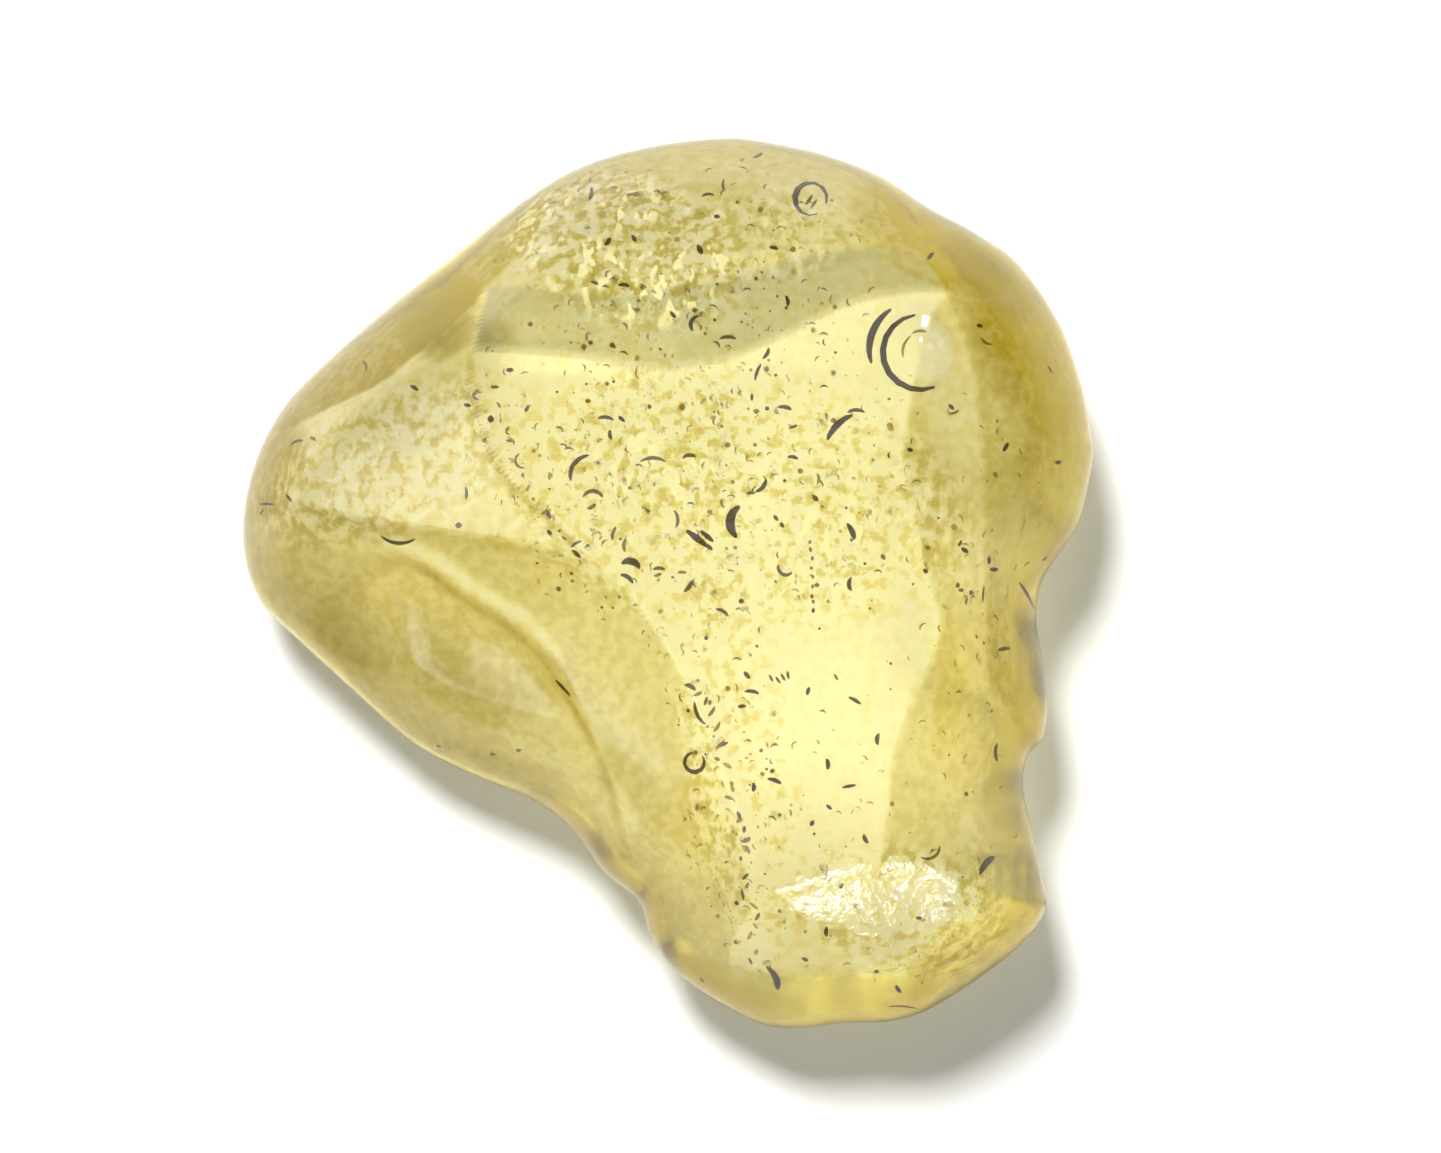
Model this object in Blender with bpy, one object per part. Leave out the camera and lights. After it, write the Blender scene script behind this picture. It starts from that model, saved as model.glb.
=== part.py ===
"""A raw piece of natural desert glass: one worn, pale yellow stone lying on its flattest side.

The stone is one solid. Seen from above its edge follows OUTLINE_MM. Each of its two sides starts as a
broad dome, and pieces are then broken off it along ridge lines, one after another: a scar starts at its
ridge and falls away from it. Wind has rounded every ridge, which is what wear_mm sets. The lowest part
of the underside is ground flat, and the stone lies on that flat.

Lengths are in millimetres until the mesh is made. +X is to the right and +Y is away from a viewer who
looks down on the stone, +Z is up, and the origin is on the ground under the middle of the stone.
"""

from dataclasses import dataclass
import math

import bmesh
import bpy
import numpy as np
from mathutils import Vector

METRES_PER_MM = 0.001

# Driving dimensions
STONE_WIDTH_MM = 34.1
STONE_DEPTH_MM = 35.6
STONE_HEIGHT_MM = 12.0
EDGE_HEIGHT_MM = 4.2
GROUND_OFF_MM = 0.25

# The edge of the stone seen from above, counter-clockwise from the right-hand bulge. It is drawn at its
# real size, and each point is where the edge turns.
OUTLINE_MM = [
    (17.05, 4.9), (16.95, 5.9), (16.6, 7.8), (15.7, 10.3), (14.1, 12.6), (12.3, 13.9),
    (10.5, 14.9), (8.6, 16.2), (6.4, 17.1), (4.2, 17.6), (2.5, 17.8), (-0.3, 17.5),
    (-3.0, 16.8), (-5.3, 15.6), (-8.3, 13.3), (-11.7, 10.6), (-14.6, 8.0), (-15.9, 6.3),
    (-16.7, 4.4), (-17.05, 2.2), (-16.8, 0.4), (-16.2, -0.9), (-15.0, -2.1), (-12.4, -4.5),
    (-10.2, -6.4), (-8.2, -7.5), (-5.2, -8.8), (-3.7, -10.0), (-2.5, -11.6), (-1.1, -12.8),
    (-0.7, -14.0), (0.1, -15.3), (1.6, -16.5), (3.7, -17.6), (5.3, -17.8), (7.0, -17.6),
    (8.8, -17.55), (10.4, -17.1), (12.5, -15.8), (14.2, -14.4), (15.05, -13.2), (15.0, -12.1),
    (14.4, -9.4), (14.2, -8.1), (14.4, -7.0), (15.0, -6.3), (15.2, -5.0), (15.1, -3.6),
    (14.8, -2.0), (14.8, -0.8), (15.1, 0.2), (15.7, 1.1), (16.5, 2.4),
]

# The ray from this point to any point of the edge crosses the edge once
HUB_MM = (3.7, 2.4)

# How finely the stone is drawn, before it is thinned out to the triangles that it keeps
STEPS_PER_SPAN = 8
GRID_CELLS = 104
EDGE_CROWDING = 1.4
TRIANGLES_WANTED = 9400

# How a scar takes its level from the ridge around it: the nearest stretch counts most
LEVEL_BLEND_MM = 0.3
LEVEL_BLEND_POWER = 9

# On the unbroken side of its ridge a scar rises at least this steeply, so that it cuts nothing there
UNBROKEN_RISE = 0.6


def smooth_min(a, b, wear):
    """The lower of two heights, with the ridge between them rounded over a height of wear."""
    near = np.clip(wear - np.abs(a - b), 0, None) / wear
    return np.minimum(a, b) - near * near * wear / 4


def smooth_max(a, b, wear):
    """The higher of two heights, with the valley between them rounded."""
    return -smooth_min(-a, -b, wear)


def smooth_line(points, closed):
    """An even curve through the points (Catmull-Rom), as a line of closer points."""
    count = len(points)
    spans = count if closed else count - 1
    points = np.array(points)
    line = []
    for i in range(spans):
        picks = [i - 1, i, i + 1, i + 2]
        picks = [k % count for k in picks] if closed else np.clip(picks, 0, count - 1)
        before, start, end, after = points[picks]
        for step in range(STEPS_PER_SPAN):
            t = step / STEPS_PER_SPAN
            even = 2 * start + (end - before) * t
            bend = (2 * before - 5 * start + 4 * end - after) * t**2
            twist = (3 * start - before - 3 * end + after) * t**3
            line.append((even + bend + twist) / 2)
    if not closed:
        line.append(points[-1])
    return np.array(line)


@dataclass(frozen=True)
class Dome:
    """The broad surface that a side of the stone starts as.

    Args:
        at_mm: its highest point, seen from above.
        height_mm: how far out that point is.
        radius_mm: its radius of curvature along X and along Y.
    """

    at_mm: tuple
    height_mm: float
    radius_mm: tuple

    def height(self, x, y):
        """How far out the dome is over each point."""
        sag_x = (x - self.at_mm[0]) ** 2 / (2 * self.radius_mm[0])
        sag_y = (y - self.at_mm[1]) ** 2 / (2 * self.radius_mm[1])
        return self.height_mm - sag_x - sag_y


@dataclass(frozen=True)
class Scar:
    """A face left where a flake has come off: it starts at a ridge and falls away to the right of it.

    Args:
        ridge_mm: the points that the ridge runs through. The scar is on its right-hand side.
        slope: the steady fall, for each millimetre away from the ridge.
        wall_mm: how much more it falls beside the ridge.
        wall_width_mm: how wide that steeper part is.
        hollow: how much the slope eases off with each millimetre.
        wear_mm: how widely wind has rounded the ridge.
    """

    ridge_mm: tuple
    slope: float
    wall_mm: float = 0.0
    wall_width_mm: float = 1.0
    hollow: float = 0.0
    wear_mm: float = 0.3

    def fall(self, away):
        """How far the scar is below its ridge at each distance away; before the ridge it rises."""
        after = np.clip(away, 0, None)
        wall = self.wall_mm * (1 - np.exp(-after / self.wall_width_mm))
        eased = self.slope * after - self.hollow * after**2 / 2
        before = np.clip(away, None, 0) * (UNBROKEN_RISE + self.slope + self.wall_mm / self.wall_width_mm)
        return wall + eased + before


class Side:
    """One side of the stone: a dome and the scars broken off it, in order."""

    def __init__(self, dome, scars):
        self.dome = dome
        self.cuts = []
        for scar in scars:
            line = smooth_line(scar.ridge_mm, closed=False)
            levels = self.height(line[:, 0], line[:, 1])
            self.cuts.append((scar, line, levels))

    def height(self, x, y):
        """How far out this side is over each point."""
        height = self.dome.height(x, y)
        for scar, line, levels in self.cuts:
            away, level = self.from_ridge(x, y, line, levels)
            height = smooth_min(height, level - scar.fall(away), scar.wear_mm)
        return height

    @staticmethod
    def from_ridge(x, y, line, levels):
        """How far each point is to the right of a ridge, and the level that the ridge has around there."""
        nearest = np.full(x.shape, np.inf)
        away = np.zeros(x.shape)
        weights = np.zeros(x.shape)
        weighed = np.zeros(x.shape)
        last = len(line) - 2
        for i in range(last + 1):
            span = line[i + 1] - line[i]
            dx = x - line[i][0]
            dy = y - line[i][1]
            along = (dx * span[0] + dy * span[1]) / (span @ span)
            held = np.clip(along, -np.inf if i == 0 else 0, np.inf if i == last else 1)
            far = np.hypot(dx - held * span[0], dy - held * span[1])
            closer = far < nearest
            right = np.sign(dx * span[1] - dy * span[0])
            nearest = np.where(closer, far, nearest)
            away = np.where(closer, far * right, away)
            share = np.clip(along, 0, 1)
            to_span = np.hypot(dx - share * span[0], dy - share * span[1])
            weight = 1 / (to_span + LEVEL_BLEND_MM) ** LEVEL_BLEND_POWER
            weights += weight
            weighed += weight * (levels[i] * (1 - share) + levels[i + 1] * share)
        return away, weighed / weights


@dataclass(frozen=True)
class Pit:
    """A small round pit, such as a burst bubble: a dish of a given radius and depth."""

    at_mm: tuple
    radius_mm: float
    depth_mm: float
    roundness: float = 1.0

    def depth(self, x, y):
        """How far the pit goes down at each point."""
        far = np.hypot(x - self.at_mm[0], y - self.at_mm[1]) / self.radius_mm
        return self.depth_mm * np.clip(1 - far**2, 0, 1) ** self.roundness


@dataclass(frozen=True)
class Swell:
    """A slow wave in a surface: its height, how fast it turns along X and along Y, and its phase."""

    height_mm: float
    turn_per_mm: tuple
    phase: float

    def height(self, x, y):
        """The height of the wave at each point."""
        return self.height_mm * np.sin(self.turn_per_mm[0] * x + self.turn_per_mm[1] * y + self.phase)


@dataclass(frozen=True)
class EdgeRounding:
    """How a side leaves the stone's edge: steep at first, as on a rounded edge, and then a bevel."""

    round_mm: float
    bevel_slope: float
    wear_mm: float

    def rise(self, inwards):
        """How far the side has left the edge at each distance inwards from it."""
        return np.sqrt(2 * self.round_mm * inwards) + self.bevel_slope * inwards


UPPER_DOME = Dome(at_mm=(2.5, 2.0), height_mm=STONE_HEIGHT_MM, radius_mm=(130, 100))

UPPER_SCARS = {
    "far_shoulder": Scar(
        ridge_mm=(
            (14.0, 10.6),
            (10.3, 10.8),
            (7.2, 10.2),
            (4.3, 8.8),
            (2.2, 8.0),
            (-0.6, 7.7),
            (-4.0, 8.2),
            (-9.5, 8.6),
        ),
        slope=0.2,
        wear_mm=0.1,
    ),
    "far_slope": Scar(
        ridge_mm=(
            (13.0, 12.3),
            (9.7, 12.6),
            (6.1, 12.3),
            (2.1, 11.2),
            (-1.9, 10.7),
            (-5.9, 11.1),
            (-9.5, 11.7),
        ),
        slope=0.42,
        wear_mm=0.25,
    ),
    "right_slope": Scar(
        ridge_mm=(
            (7.6, -16.0),
            (8.6, -9.8),
            (8.8, -7.5),
            (9.7, -4.8),
            (10.7, -2.4),
            (9.7, 1.4),
            (9.3, 4.5),
            (9.9, 9.0),
        ),
        slope=0.28,
        wear_mm=0.3,
    ),
    "far_right_slope": Scar(
        ridge_mm=((12.6, -4.0), (12.5, 1.0), (12.3, 5.0), (11.7, 8.9), (10.2, 12.3), (8.0, 15.5)),
        slope=0.5,
        wear_mm=0.8,
    ),
    "left_facet": Scar(
        ridge_mm=(
            (-6.9, 13.0),
            (-7.1, 10.9),
            (-7.5, 8.0),
            (-7.2, 5.8),
            (-6.3, 3.8),
            (-4.5, 2.0),
            (-3.4, 0.8),
            (-2.9, -0.5),
            (-2.8, -3.0),
        ),
        slope=0.32,
        wall_mm=0.2,
        wall_width_mm=0.6,
        wear_mm=0.12,
    ),
    "far_left_bevel": Scar(
        ridge_mm=(
            (-4.0, 16.6),
            (-5.2, 13.4),
            (-7.1, 11.1),
            (-9.1, 9.2),
            (-11.1, 7.5),
            (-13.5, 6.5),
            (-15.2, 5.9),
        ),
        slope=0.75,
        wear_mm=0.3,
    ),
    "scoop": Scar(
        ridge_mm=(
            (-16.8, 4.1),
            (-14.5, 2.8),
            (-12.2, 2.1),
            (-9.4, 1.6),
            (-7.3, 1.2),
            (-4.1, 0.6),
            (-2.2, -0.3),
            (-0.4, -2.5),
            (1.0, -5.0),
            (1.9, -7.3),
            (2.6, -9.2),
            (3.1, -11.4),
            (3.3, -14.0),
            (3.2, -16.5),
        ),
        slope=0.5,
        wall_mm=0.7,
        wall_width_mm=1.0,
        hollow=0.045,
        wear_mm=0.2,
    ),
    "wing_dish": Scar(
        ridge_mm=(
            (-17.3, -0.9),
            (-15.8, -1.0),
            (-14.3, -0.8),
            (-13.2, -0.3),
            (-12.0, 0.5),
            (-10.8, 0.7),
            (-9.4, 0.3),
            (-7.7, -0.9),
            (-5.7, -2.2),
            (-4.3, -3.7),
            (-3.1, -5.7),
            (-2.2, -7.6),
            (-1.6, -9.9),
            (-0.9, -13.5),
        ),
        slope=0.16,
        wall_mm=1.0,
        wall_width_mm=0.8,
        hollow=0.012,
        wear_mm=0.12,
    ),
    "wing_lip": Scar(
        ridge_mm=(
            (-12.0, -5.6),
            (-9.1, -6.5),
            (-5.9, -7.4),
            (-2.9, -8.1),
            (-1.8, -10.2),
            (-1.1, -12.6),
            (-0.9, -15.0),
        ),
        slope=0.75,
        wear_mm=0.15,
    ),
    "near_end_face": Scar(
        ridge_mm=(
            (2.6, -14.4),
            (3.6, -13.1),
            (5.2, -12.4),
            (7.1, -11.8),
            (8.8, -11.6),
            (10.6, -11.9),
            (11.8, -13.0),
            (13.2, -14.4),
        ),
        slope=0.3,
        wall_mm=0.25,
        wall_width_mm=0.5,
        wear_mm=0.12,
    ),
    "near_end_chip": Scar(
        ridge_mm=(
            (5.4, -15.3),
            (6.4, -14.1),
            (7.5, -13.5),
            (8.6, -13.3),
            (9.6, -13.7),
            (10.4, -14.3),
            (10.8, -15.3),
        ),
        slope=0.3,
        wall_mm=0.15,
        wall_width_mm=0.4,
        wear_mm=0.12,
    ),
    "far_right_ledge": Scar(
        ridge_mm=((16.3, 9.0), (15.4, 10.6), (14.5, 11.8), (13.2, 12.9), (11.2, 14.1)),
        slope=0.1,
        wall_mm=2.6,
        wall_width_mm=0.3,
        wear_mm=0.3,
    ),
}

LOWER_DOME = Dome(at_mm=(1.5, 0.0), height_mm=GROUND_OFF_MM, radius_mm=(110, 140))

LOWER_SCARS = {
    "far_underside": Scar(
        ridge_mm=((13.0, 11.0), (9.0, 9.2), (3.0, 8.8), (-3.0, 8.6), (-9.0, 9.0)),
        slope=0.32,
        wear_mm=0.5,
    ),
    "wing_underside": Scar(
        ridge_mm=((-7.5, 12.0), (-6.5, 5.0), (-4.0, 1.0), (-1.0, -4.0), (1.5, -9.0), (2.5, -14.0)),
        slope=0.22,
        wear_mm=0.4,
    ),
    "right_underside": Scar(
        ridge_mm=((8.5, -14.0), (9.0, -8.0), (10.3, -2.0), (9.5, 5.0), (9.0, 12.0)),
        slope=0.5,
        wear_mm=0.5,
    ),
    "near_underside": Scar(
        ridge_mm=((-2.0, -11.0), (3.0, -12.0), (8.0, -12.0), (14.0, -11.5)),
        slope=0.42,
        wear_mm=0.4,
    ),
}

PITS = {
    "burst_bubble": Pit(at_mm=(9.75, 8.45), radius_mm=1.55, depth_mm=0.5),
    "burst_bubble_floor": Pit(at_mm=(9.95, 8.6), radius_mm=0.8, depth_mm=0.25),
    "round_bubble": Pit(at_mm=(5.6, 14.55), radius_mm=0.62, depth_mm=0.35, roundness=0.6),
    "right_notch": Pit(at_mm=(15.6, -0.8), radius_mm=1.8, depth_mm=0.9),
    "near_right_notch": Pit(at_mm=(15.0, -7.9), radius_mm=1.7, depth_mm=0.9),
    "near_left_notch": Pit(at_mm=(-1.9, -13.2), radius_mm=2.2, depth_mm=0.9),
}

UPPER_EDGE = EdgeRounding(round_mm=2.0, bevel_slope=0.7, wear_mm=0.9)
LOWER_EDGE = EdgeRounding(round_mm=1.1, bevel_slope=0.4, wear_mm=0.6)

EDGE_TILT = (0.045, 0.03)
EDGE_WANDER = Swell(height_mm=0.25, turn_per_mm=(0.35, -0.2), phase=0)

# The slow waves of the upper faces, and the two that bend them so that they don't run straight
FACE_SWELLS = (
    Swell(height_mm=0.05, turn_per_mm=(0.47, 0.29), phase=0.4),
    Swell(height_mm=0.04, turn_per_mm=(0.21, -0.58), phase=1.7),
    Swell(height_mm=0.02, turn_per_mm=(1.13, 0.87), phase=2.9),
)
BEND_X = Swell(height_mm=1.4, turn_per_mm=(0, 0.41), phase=0.8)
BEND_Y = Swell(height_mm=1.7, turn_per_mm=(0.37, 0), phase=-0.5)
SWELL_FADE_MM = 1.0

# A side stays at least this far from the level of the edge
EDGE_CLEARANCE_MM = 0.5


def distance_to_line(x, y, line):
    """How far each point is from the closed line."""
    spans = np.roll(line, -1, axis=0) - line
    nearest = np.full(x.shape, np.inf)
    for (sx, sy), (vx, vy) in zip(line, spans):
        along = np.clip(((x - sx) * vx + (y - sy) * vy) / (vx * vx + vy * vy), 0, 1)
        nearest = np.minimum(nearest, np.hypot(x - sx - along * vx, y - sy - along * vy))
    return nearest


def square_to_disc(cells):
    """The share of the way out and the direction of each corner of a square grid laid on a disc."""
    side = np.linspace(-1, 1, cells + 1)
    a, b = np.meshgrid(side, side, indexing="ij")
    wide = np.abs(a) > np.abs(b)
    with np.errstate(divide="ignore", invalid="ignore"):
        turn = np.where(wide, math.pi / 4 * b / a, math.pi / 2 - math.pi / 4 * a / b)
    turn = np.where(np.where(wide, a, b) < 0, turn + math.pi, turn)
    turn = np.where((a == 0) & (b == 0), 0, turn)
    return np.maximum(np.abs(a), np.abs(b)), turn


def fit_to_size(x, y, line):
    """The places moved and stretched so that the stone has its driving width and depth and is centred."""
    low = line.min(axis=0)
    high = line.max(axis=0)
    fitted_x = (x - (low[0] + high[0]) / 2) * STONE_WIDTH_MM / (high[0] - low[0])
    fitted_y = (y - (low[1] + high[1]) / 2) * STONE_DEPTH_MM / (high[1] - low[1])
    return fitted_x, fitted_y


def spread_over_stone(line):
    """A grid of places seen from above that covers the stone, crowded towards its edge."""
    share, turn = square_to_disc(GRID_CELLS)
    hub = np.array(HUB_MM)
    reach = np.hypot(*(line - hub).T)
    bearing = np.arctan2(line[:, 1] - hub[1], line[:, 0] - hub[0]) % (2 * math.pi)
    order = np.argsort(bearing)
    edge = np.interp(turn % (2 * math.pi), bearing[order], reach[order], period=2 * math.pi)
    radius = edge * (1 - (1 - share) ** EDGE_CROWDING)
    return hub[0] + radius * np.cos(turn), hub[1] + radius * np.sin(turn), share


def edge_height(x, y):
    """The height of the edge over the ground, which tilts and wanders up and down."""
    return EDGE_HEIGHT_MM + EDGE_TILT[0] * x + EDGE_TILT[1] * y + EDGE_WANDER.height(x, y)


def undulation(x, y):
    """The slow rise and fall that wear has left on the upper faces."""
    bent_x = x + BEND_X.height(x, y)
    bent_y = y + BEND_Y.height(x, y)
    return sum(swell.height(bent_x, bent_y) for swell in FACE_SWELLS)


def top_height(side, x, y, inwards):
    """The height of the upper surface over each point."""
    height = side.height(x, y) + np.clip(inwards / SWELL_FADE_MM, 0, 1) * undulation(x, y)
    for pit in PITS.values():
        height = height - pit.depth(x, y)
    edge = edge_height(x, y)
    height = smooth_max(height, edge + EDGE_CLEARANCE_MM, EDGE_CLEARANCE_MM)
    return smooth_min(height, edge + UPPER_EDGE.rise(inwards), UPPER_EDGE.wear_mm)


def under_height(side, x, y, inwards):
    """The height of the underside over each point."""
    edge = edge_height(x, y)
    height = smooth_min(-side.height(x, y), edge - EDGE_CLEARANCE_MM, EDGE_CLEARANCE_MM)
    return smooth_max(height, edge - LOWER_EDGE.rise(inwards), LOWER_EDGE.wear_mm)


def build_stone_mesh():
    """The closed mesh of the stone: an upper and a lower sheet of quads that share their edge."""
    line = smooth_line(OUTLINE_MM, closed=True)
    x, y, share = spread_over_stone(line)
    on_edge = np.isclose(share, 1)
    inwards = np.where(on_edge, 0, distance_to_line(x, y, line))
    rim = edge_height(x, y)
    upper = np.where(on_edge, rim, top_height(Side(UPPER_DOME, UPPER_SCARS.values()), x, y, inwards))
    lower = under_height(Side(LOWER_DOME, LOWER_SCARS.values()), x, y, inwards)
    x, y = fit_to_size(x, y, line)
    shape = bmesh.new()
    top_corners = {}
    under_corners = {}
    for index in np.ndindex(x.shape):
        place = Vector((x[index], y[index], upper[index])) * METRES_PER_MM
        top_corners[index] = shape.verts.new(place)
        if on_edge[index]:
            under_corners[index] = top_corners[index]
        else:
            place = Vector((x[index], y[index], lower[index])) * METRES_PER_MM
            under_corners[index] = shape.verts.new(place)
    for i, j in np.ndindex(GRID_CELLS, GRID_CELLS):
        around = [(i, j), (i + 1, j), (i + 1, j + 1), (i, j + 1)]
        shape.faces.new([top_corners[corner] for corner in around])
        shape.faces.new([under_corners[corner] for corner in reversed(around)])
    mesh = bpy.data.meshes.new("desert_glass")
    shape.to_mesh(mesh)
    shape.free()
    mesh.shade_smooth()
    return mesh


def glass_material():
    """Pale yellow natural glass."""
    material = bpy.data.materials.new("desert_glass")
    material.use_nodes = True
    shader = material.node_tree.nodes["Principled BSDF"]
    shader.inputs["Base Color"].default_value = (0.86, 0.78, 0.36, 1)
    shader.inputs["Roughness"].default_value = 0.2
    shader.inputs["Metallic"].default_value = 0
    shader.inputs["IOR"].default_value = 1.46
    shader.inputs["Transmission Weight"].default_value = 0.9
    return material


def ground_cutter():
    """A slab below the ground, whose top face cuts the flat that the stone lies on."""
    shape = bmesh.new()
    bmesh.ops.create_cube(shape, size=1)
    side = 2 * STONE_DEPTH_MM * METRES_PER_MM
    depth = STONE_HEIGHT_MM * METRES_PER_MM
    bmesh.ops.scale(shape, vec=(side, side, depth), verts=shape.verts)
    bmesh.ops.translate(shape, vec=(0, 0, -depth / 2), verts=shape.verts)
    mesh = bpy.data.meshes.new("ground_cutter")
    shape.to_mesh(mesh)
    shape.free()
    cutter = bpy.data.objects.new("ground_cutter", mesh)
    cutter.hide_render = True
    cutter.display_type = "WIRE"
    bpy.context.scene.collection.objects.link(cutter)
    return cutter


def main():
    """Builds the stone in an empty scene."""
    for old in list(bpy.data.objects):
        bpy.data.objects.remove(old)
    stone = bpy.data.objects.new("desert_glass", build_stone_mesh())
    stone.data.materials.append(glass_material())
    bpy.context.scene.collection.objects.link(stone)
    thin_out = stone.modifiers.new("thin_out", "DECIMATE")
    thin_out.ratio = TRIANGLES_WANTED / (4 * GRID_CELLS**2)
    grind = stone.modifiers.new("grind_flat", "BOOLEAN")
    grind.object = ground_cutter()
    grind.operation = "DIFFERENCE"
    grind.solver = "EXACT"


main()
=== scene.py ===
"""A raw piece of natural desert glass on a pale floor, seen from above.

The stone is one clear piece. Its skin is drawn from the same form as the solid: two domes with scars
broken off them along ridge lines, and an edge that follows the outline. Geometry Nodes then roughen the
skin and fill the glass with bubbles. Form sizes are in millimetres, and meshes are in metres. The mesh
keeps traits at its corners, such as how etched it is and how deep its colour and painted shade are, and
the glass finish reads them. Darker faces, creases and rim, the grain's light and shade, pale glints and
the dark rims of the bubbles are painted into the colour as painted shade and painted light.
"""

import logging
import math
from dataclasses import dataclass, field
from enum import Enum

import bmesh
import bpy
import numpy as np
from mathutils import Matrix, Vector


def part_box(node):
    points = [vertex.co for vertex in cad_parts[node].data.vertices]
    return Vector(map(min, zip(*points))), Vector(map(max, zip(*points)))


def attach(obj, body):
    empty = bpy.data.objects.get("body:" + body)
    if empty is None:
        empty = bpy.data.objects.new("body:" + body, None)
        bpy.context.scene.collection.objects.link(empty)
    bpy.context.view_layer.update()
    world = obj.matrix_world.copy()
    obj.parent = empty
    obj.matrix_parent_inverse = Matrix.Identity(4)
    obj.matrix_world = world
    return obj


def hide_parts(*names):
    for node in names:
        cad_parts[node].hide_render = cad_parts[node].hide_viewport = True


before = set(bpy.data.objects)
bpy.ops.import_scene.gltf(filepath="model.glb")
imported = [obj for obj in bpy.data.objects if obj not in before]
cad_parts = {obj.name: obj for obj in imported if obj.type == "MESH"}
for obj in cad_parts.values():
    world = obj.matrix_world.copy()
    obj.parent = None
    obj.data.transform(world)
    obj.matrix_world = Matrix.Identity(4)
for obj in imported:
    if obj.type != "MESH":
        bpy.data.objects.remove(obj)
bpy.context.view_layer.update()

MM = 0.001
STONE_NODE = "desert_glass"
STONE_PIECE = "raw_glass_stone"

Point = tuple[float, float]
Colour = tuple[float, float, float]
# A colour_and_shade: how deep the colour is, painted shade included, and how much neutral painted shade there
# is.
Tint = tuple[float, float]
Value = float | tuple | str | bpy.types.NodeSocket | bpy.types.Material
Feeds = dict[str | int, Value]

log = logging.getLogger("desert_glass_scene")


class Face(Enum):
    """The faces that flakes have left on the stone."""

    FAR_SHOULDER = "far shoulder"
    FAR_SLOPE = "far slope"
    RIGHT_SLOPE = "right slope"
    FAR_RIGHT_SLOPE = "far right slope"
    LEFT_FACET = "left facet"
    FAR_LEFT_BEVEL = "far left bevel"
    SCOOP = "scoop"
    WING_DISH = "wing dish"
    WING_LIP = "wing lip"
    NEAR_END_FACE = "near end face"
    NEAR_END_CHIP = "near end chip"
    FAR_RIGHT_LEDGE = "far right ledge"
    FAR_UNDERSIDE = "far underside"
    WING_UNDERSIDE = "wing underside"
    RIGHT_UNDERSIDE = "right underside"
    NEAR_UNDERSIDE = "near underside"


class Trait(Enum):
    """What the mesh keeps at each corner: how strong it is there."""

    ETCHED = "etched"
    BUBBLY = "bubbly"
    # Colour depth: the glass's own ochre, with painted shade added where faces, creases and rim should look
    # darker, and painted light where it is lowered.
    OCHRE_AND_SHADE = "ochre_and_shade"
    # Neutral painted shade: faces made greyer and darker in place of their sheen and dimmer light; below 0 it
    # is painted light.
    NEUTRAL_SHADE = "neutral_shade"
    DEEP = "deep"
    # Painted shade on the bubbles: the dark rims that bubbles show by bending light, painted as dark colour.
    BUBBLE_SHADE = "bubble_shade"
    THICK = "thick"


def smooth_min(a: np.ndarray, b: np.ndarray, wear: float) -> np.ndarray:
    """The lower of two heights, with the ridge between them rounded.

    Args:
        a: one height at each point.
        b: the other height at each point.
        wear: how far apart the two may be and still be rounded into each other.

    Returns:
        The joined height at each point.
    """
    near = np.clip(wear - np.abs(a - b), 0, None) / wear
    return np.minimum(a, b) - near * near * wear / 4


def smooth_max(a: np.ndarray, b: np.ndarray, wear: float) -> np.ndarray:
    """The higher of two heights, with the valley between them rounded as smooth_min rounds a ridge."""
    return -smooth_min(-a, -b, wear)


def smooth_line(points: tuple[Point, ...], closed: bool, steps: int = 8) -> np.ndarray:
    """An even curve through some points (Catmull-Rom).

    Args:
        points: the points that the curve runs through.
        closed: whether the last point leads back to the first.
        steps: how many short runs there are between two points.

    Returns:
        The close points of the curve, one in each row.
    """
    count = len(points)
    spans = count if closed else count - 1
    held = np.array(points)
    line = []
    for i in range(spans):
        picks = [i - 1, i, i + 1, i + 2]
        picks = [k % count for k in picks] if closed else np.clip(picks, 0, count - 1)
        before, start, end, after = held[picks]
        for step in range(steps):
            t = step / steps
            even = 2 * start + (end - before) * t
            bend = (2 * before - 5 * start + 4 * end - after) * t**2
            twist = (3 * start - before - 3 * end + after) * t**3
            line.append((even + bend + twist) / 2)
    if not closed:
        line.append(held[-1])
    return np.array(line)


@dataclass(frozen=True)
class Dome:
    """The broad surface that a side of the stone starts as."""

    at_mm: Point
    height_mm: float
    radius_mm: Point

    def height(self, x: np.ndarray, y: np.ndarray) -> np.ndarray:
        """How far out the dome is.

        Args:
            x: the points' places along X.
            y: the points' places along Y.

        Returns:
            The dome's height over each point.
        """
        sag_x = (x - self.at_mm[0]) ** 2 / (2 * self.radius_mm[0])
        sag_y = (y - self.at_mm[1]) ** 2 / (2 * self.radius_mm[1])
        return self.height_mm - sag_x - sag_y


@dataclass(frozen=True)
class Scar:
    """A face left where a flake has come off: it starts at a ridge and falls away to the right of it. Its
    colour_and_shade is partly its own colour and partly painted shade and painted light.
    """

    ridge_mm: tuple[Point, ...]
    slope: float
    wall_mm: float = 0.0
    wall_width_mm: float = 1.0
    hollow: float = 0.0
    wear_mm: float = 0.3
    # Colour depth and neutral painted shade of the face: partly its own colour, partly painted shade and
    # painted light for how light falls on it.
    colour_and_shade: Tint = (0.0, 0.0)
    unbroken_rise: float = 0.6

    def fall(self, away: np.ndarray) -> np.ndarray:
        """How far the scar is below its ridge; before the ridge it rises.

        Args:
            away: how far each point is past the ridge.

        Returns:
            The fall at each point.
        """
        after = np.clip(away, 0, None)
        wall = self.wall_mm * (1 - np.exp(-after / self.wall_width_mm))
        eased = self.slope * after - self.hollow * after**2 / 2
        steepness = self.unbroken_rise + self.slope + self.wall_mm / self.wall_width_mm
        return wall + eased + np.clip(away, None, 0) * steepness


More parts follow.
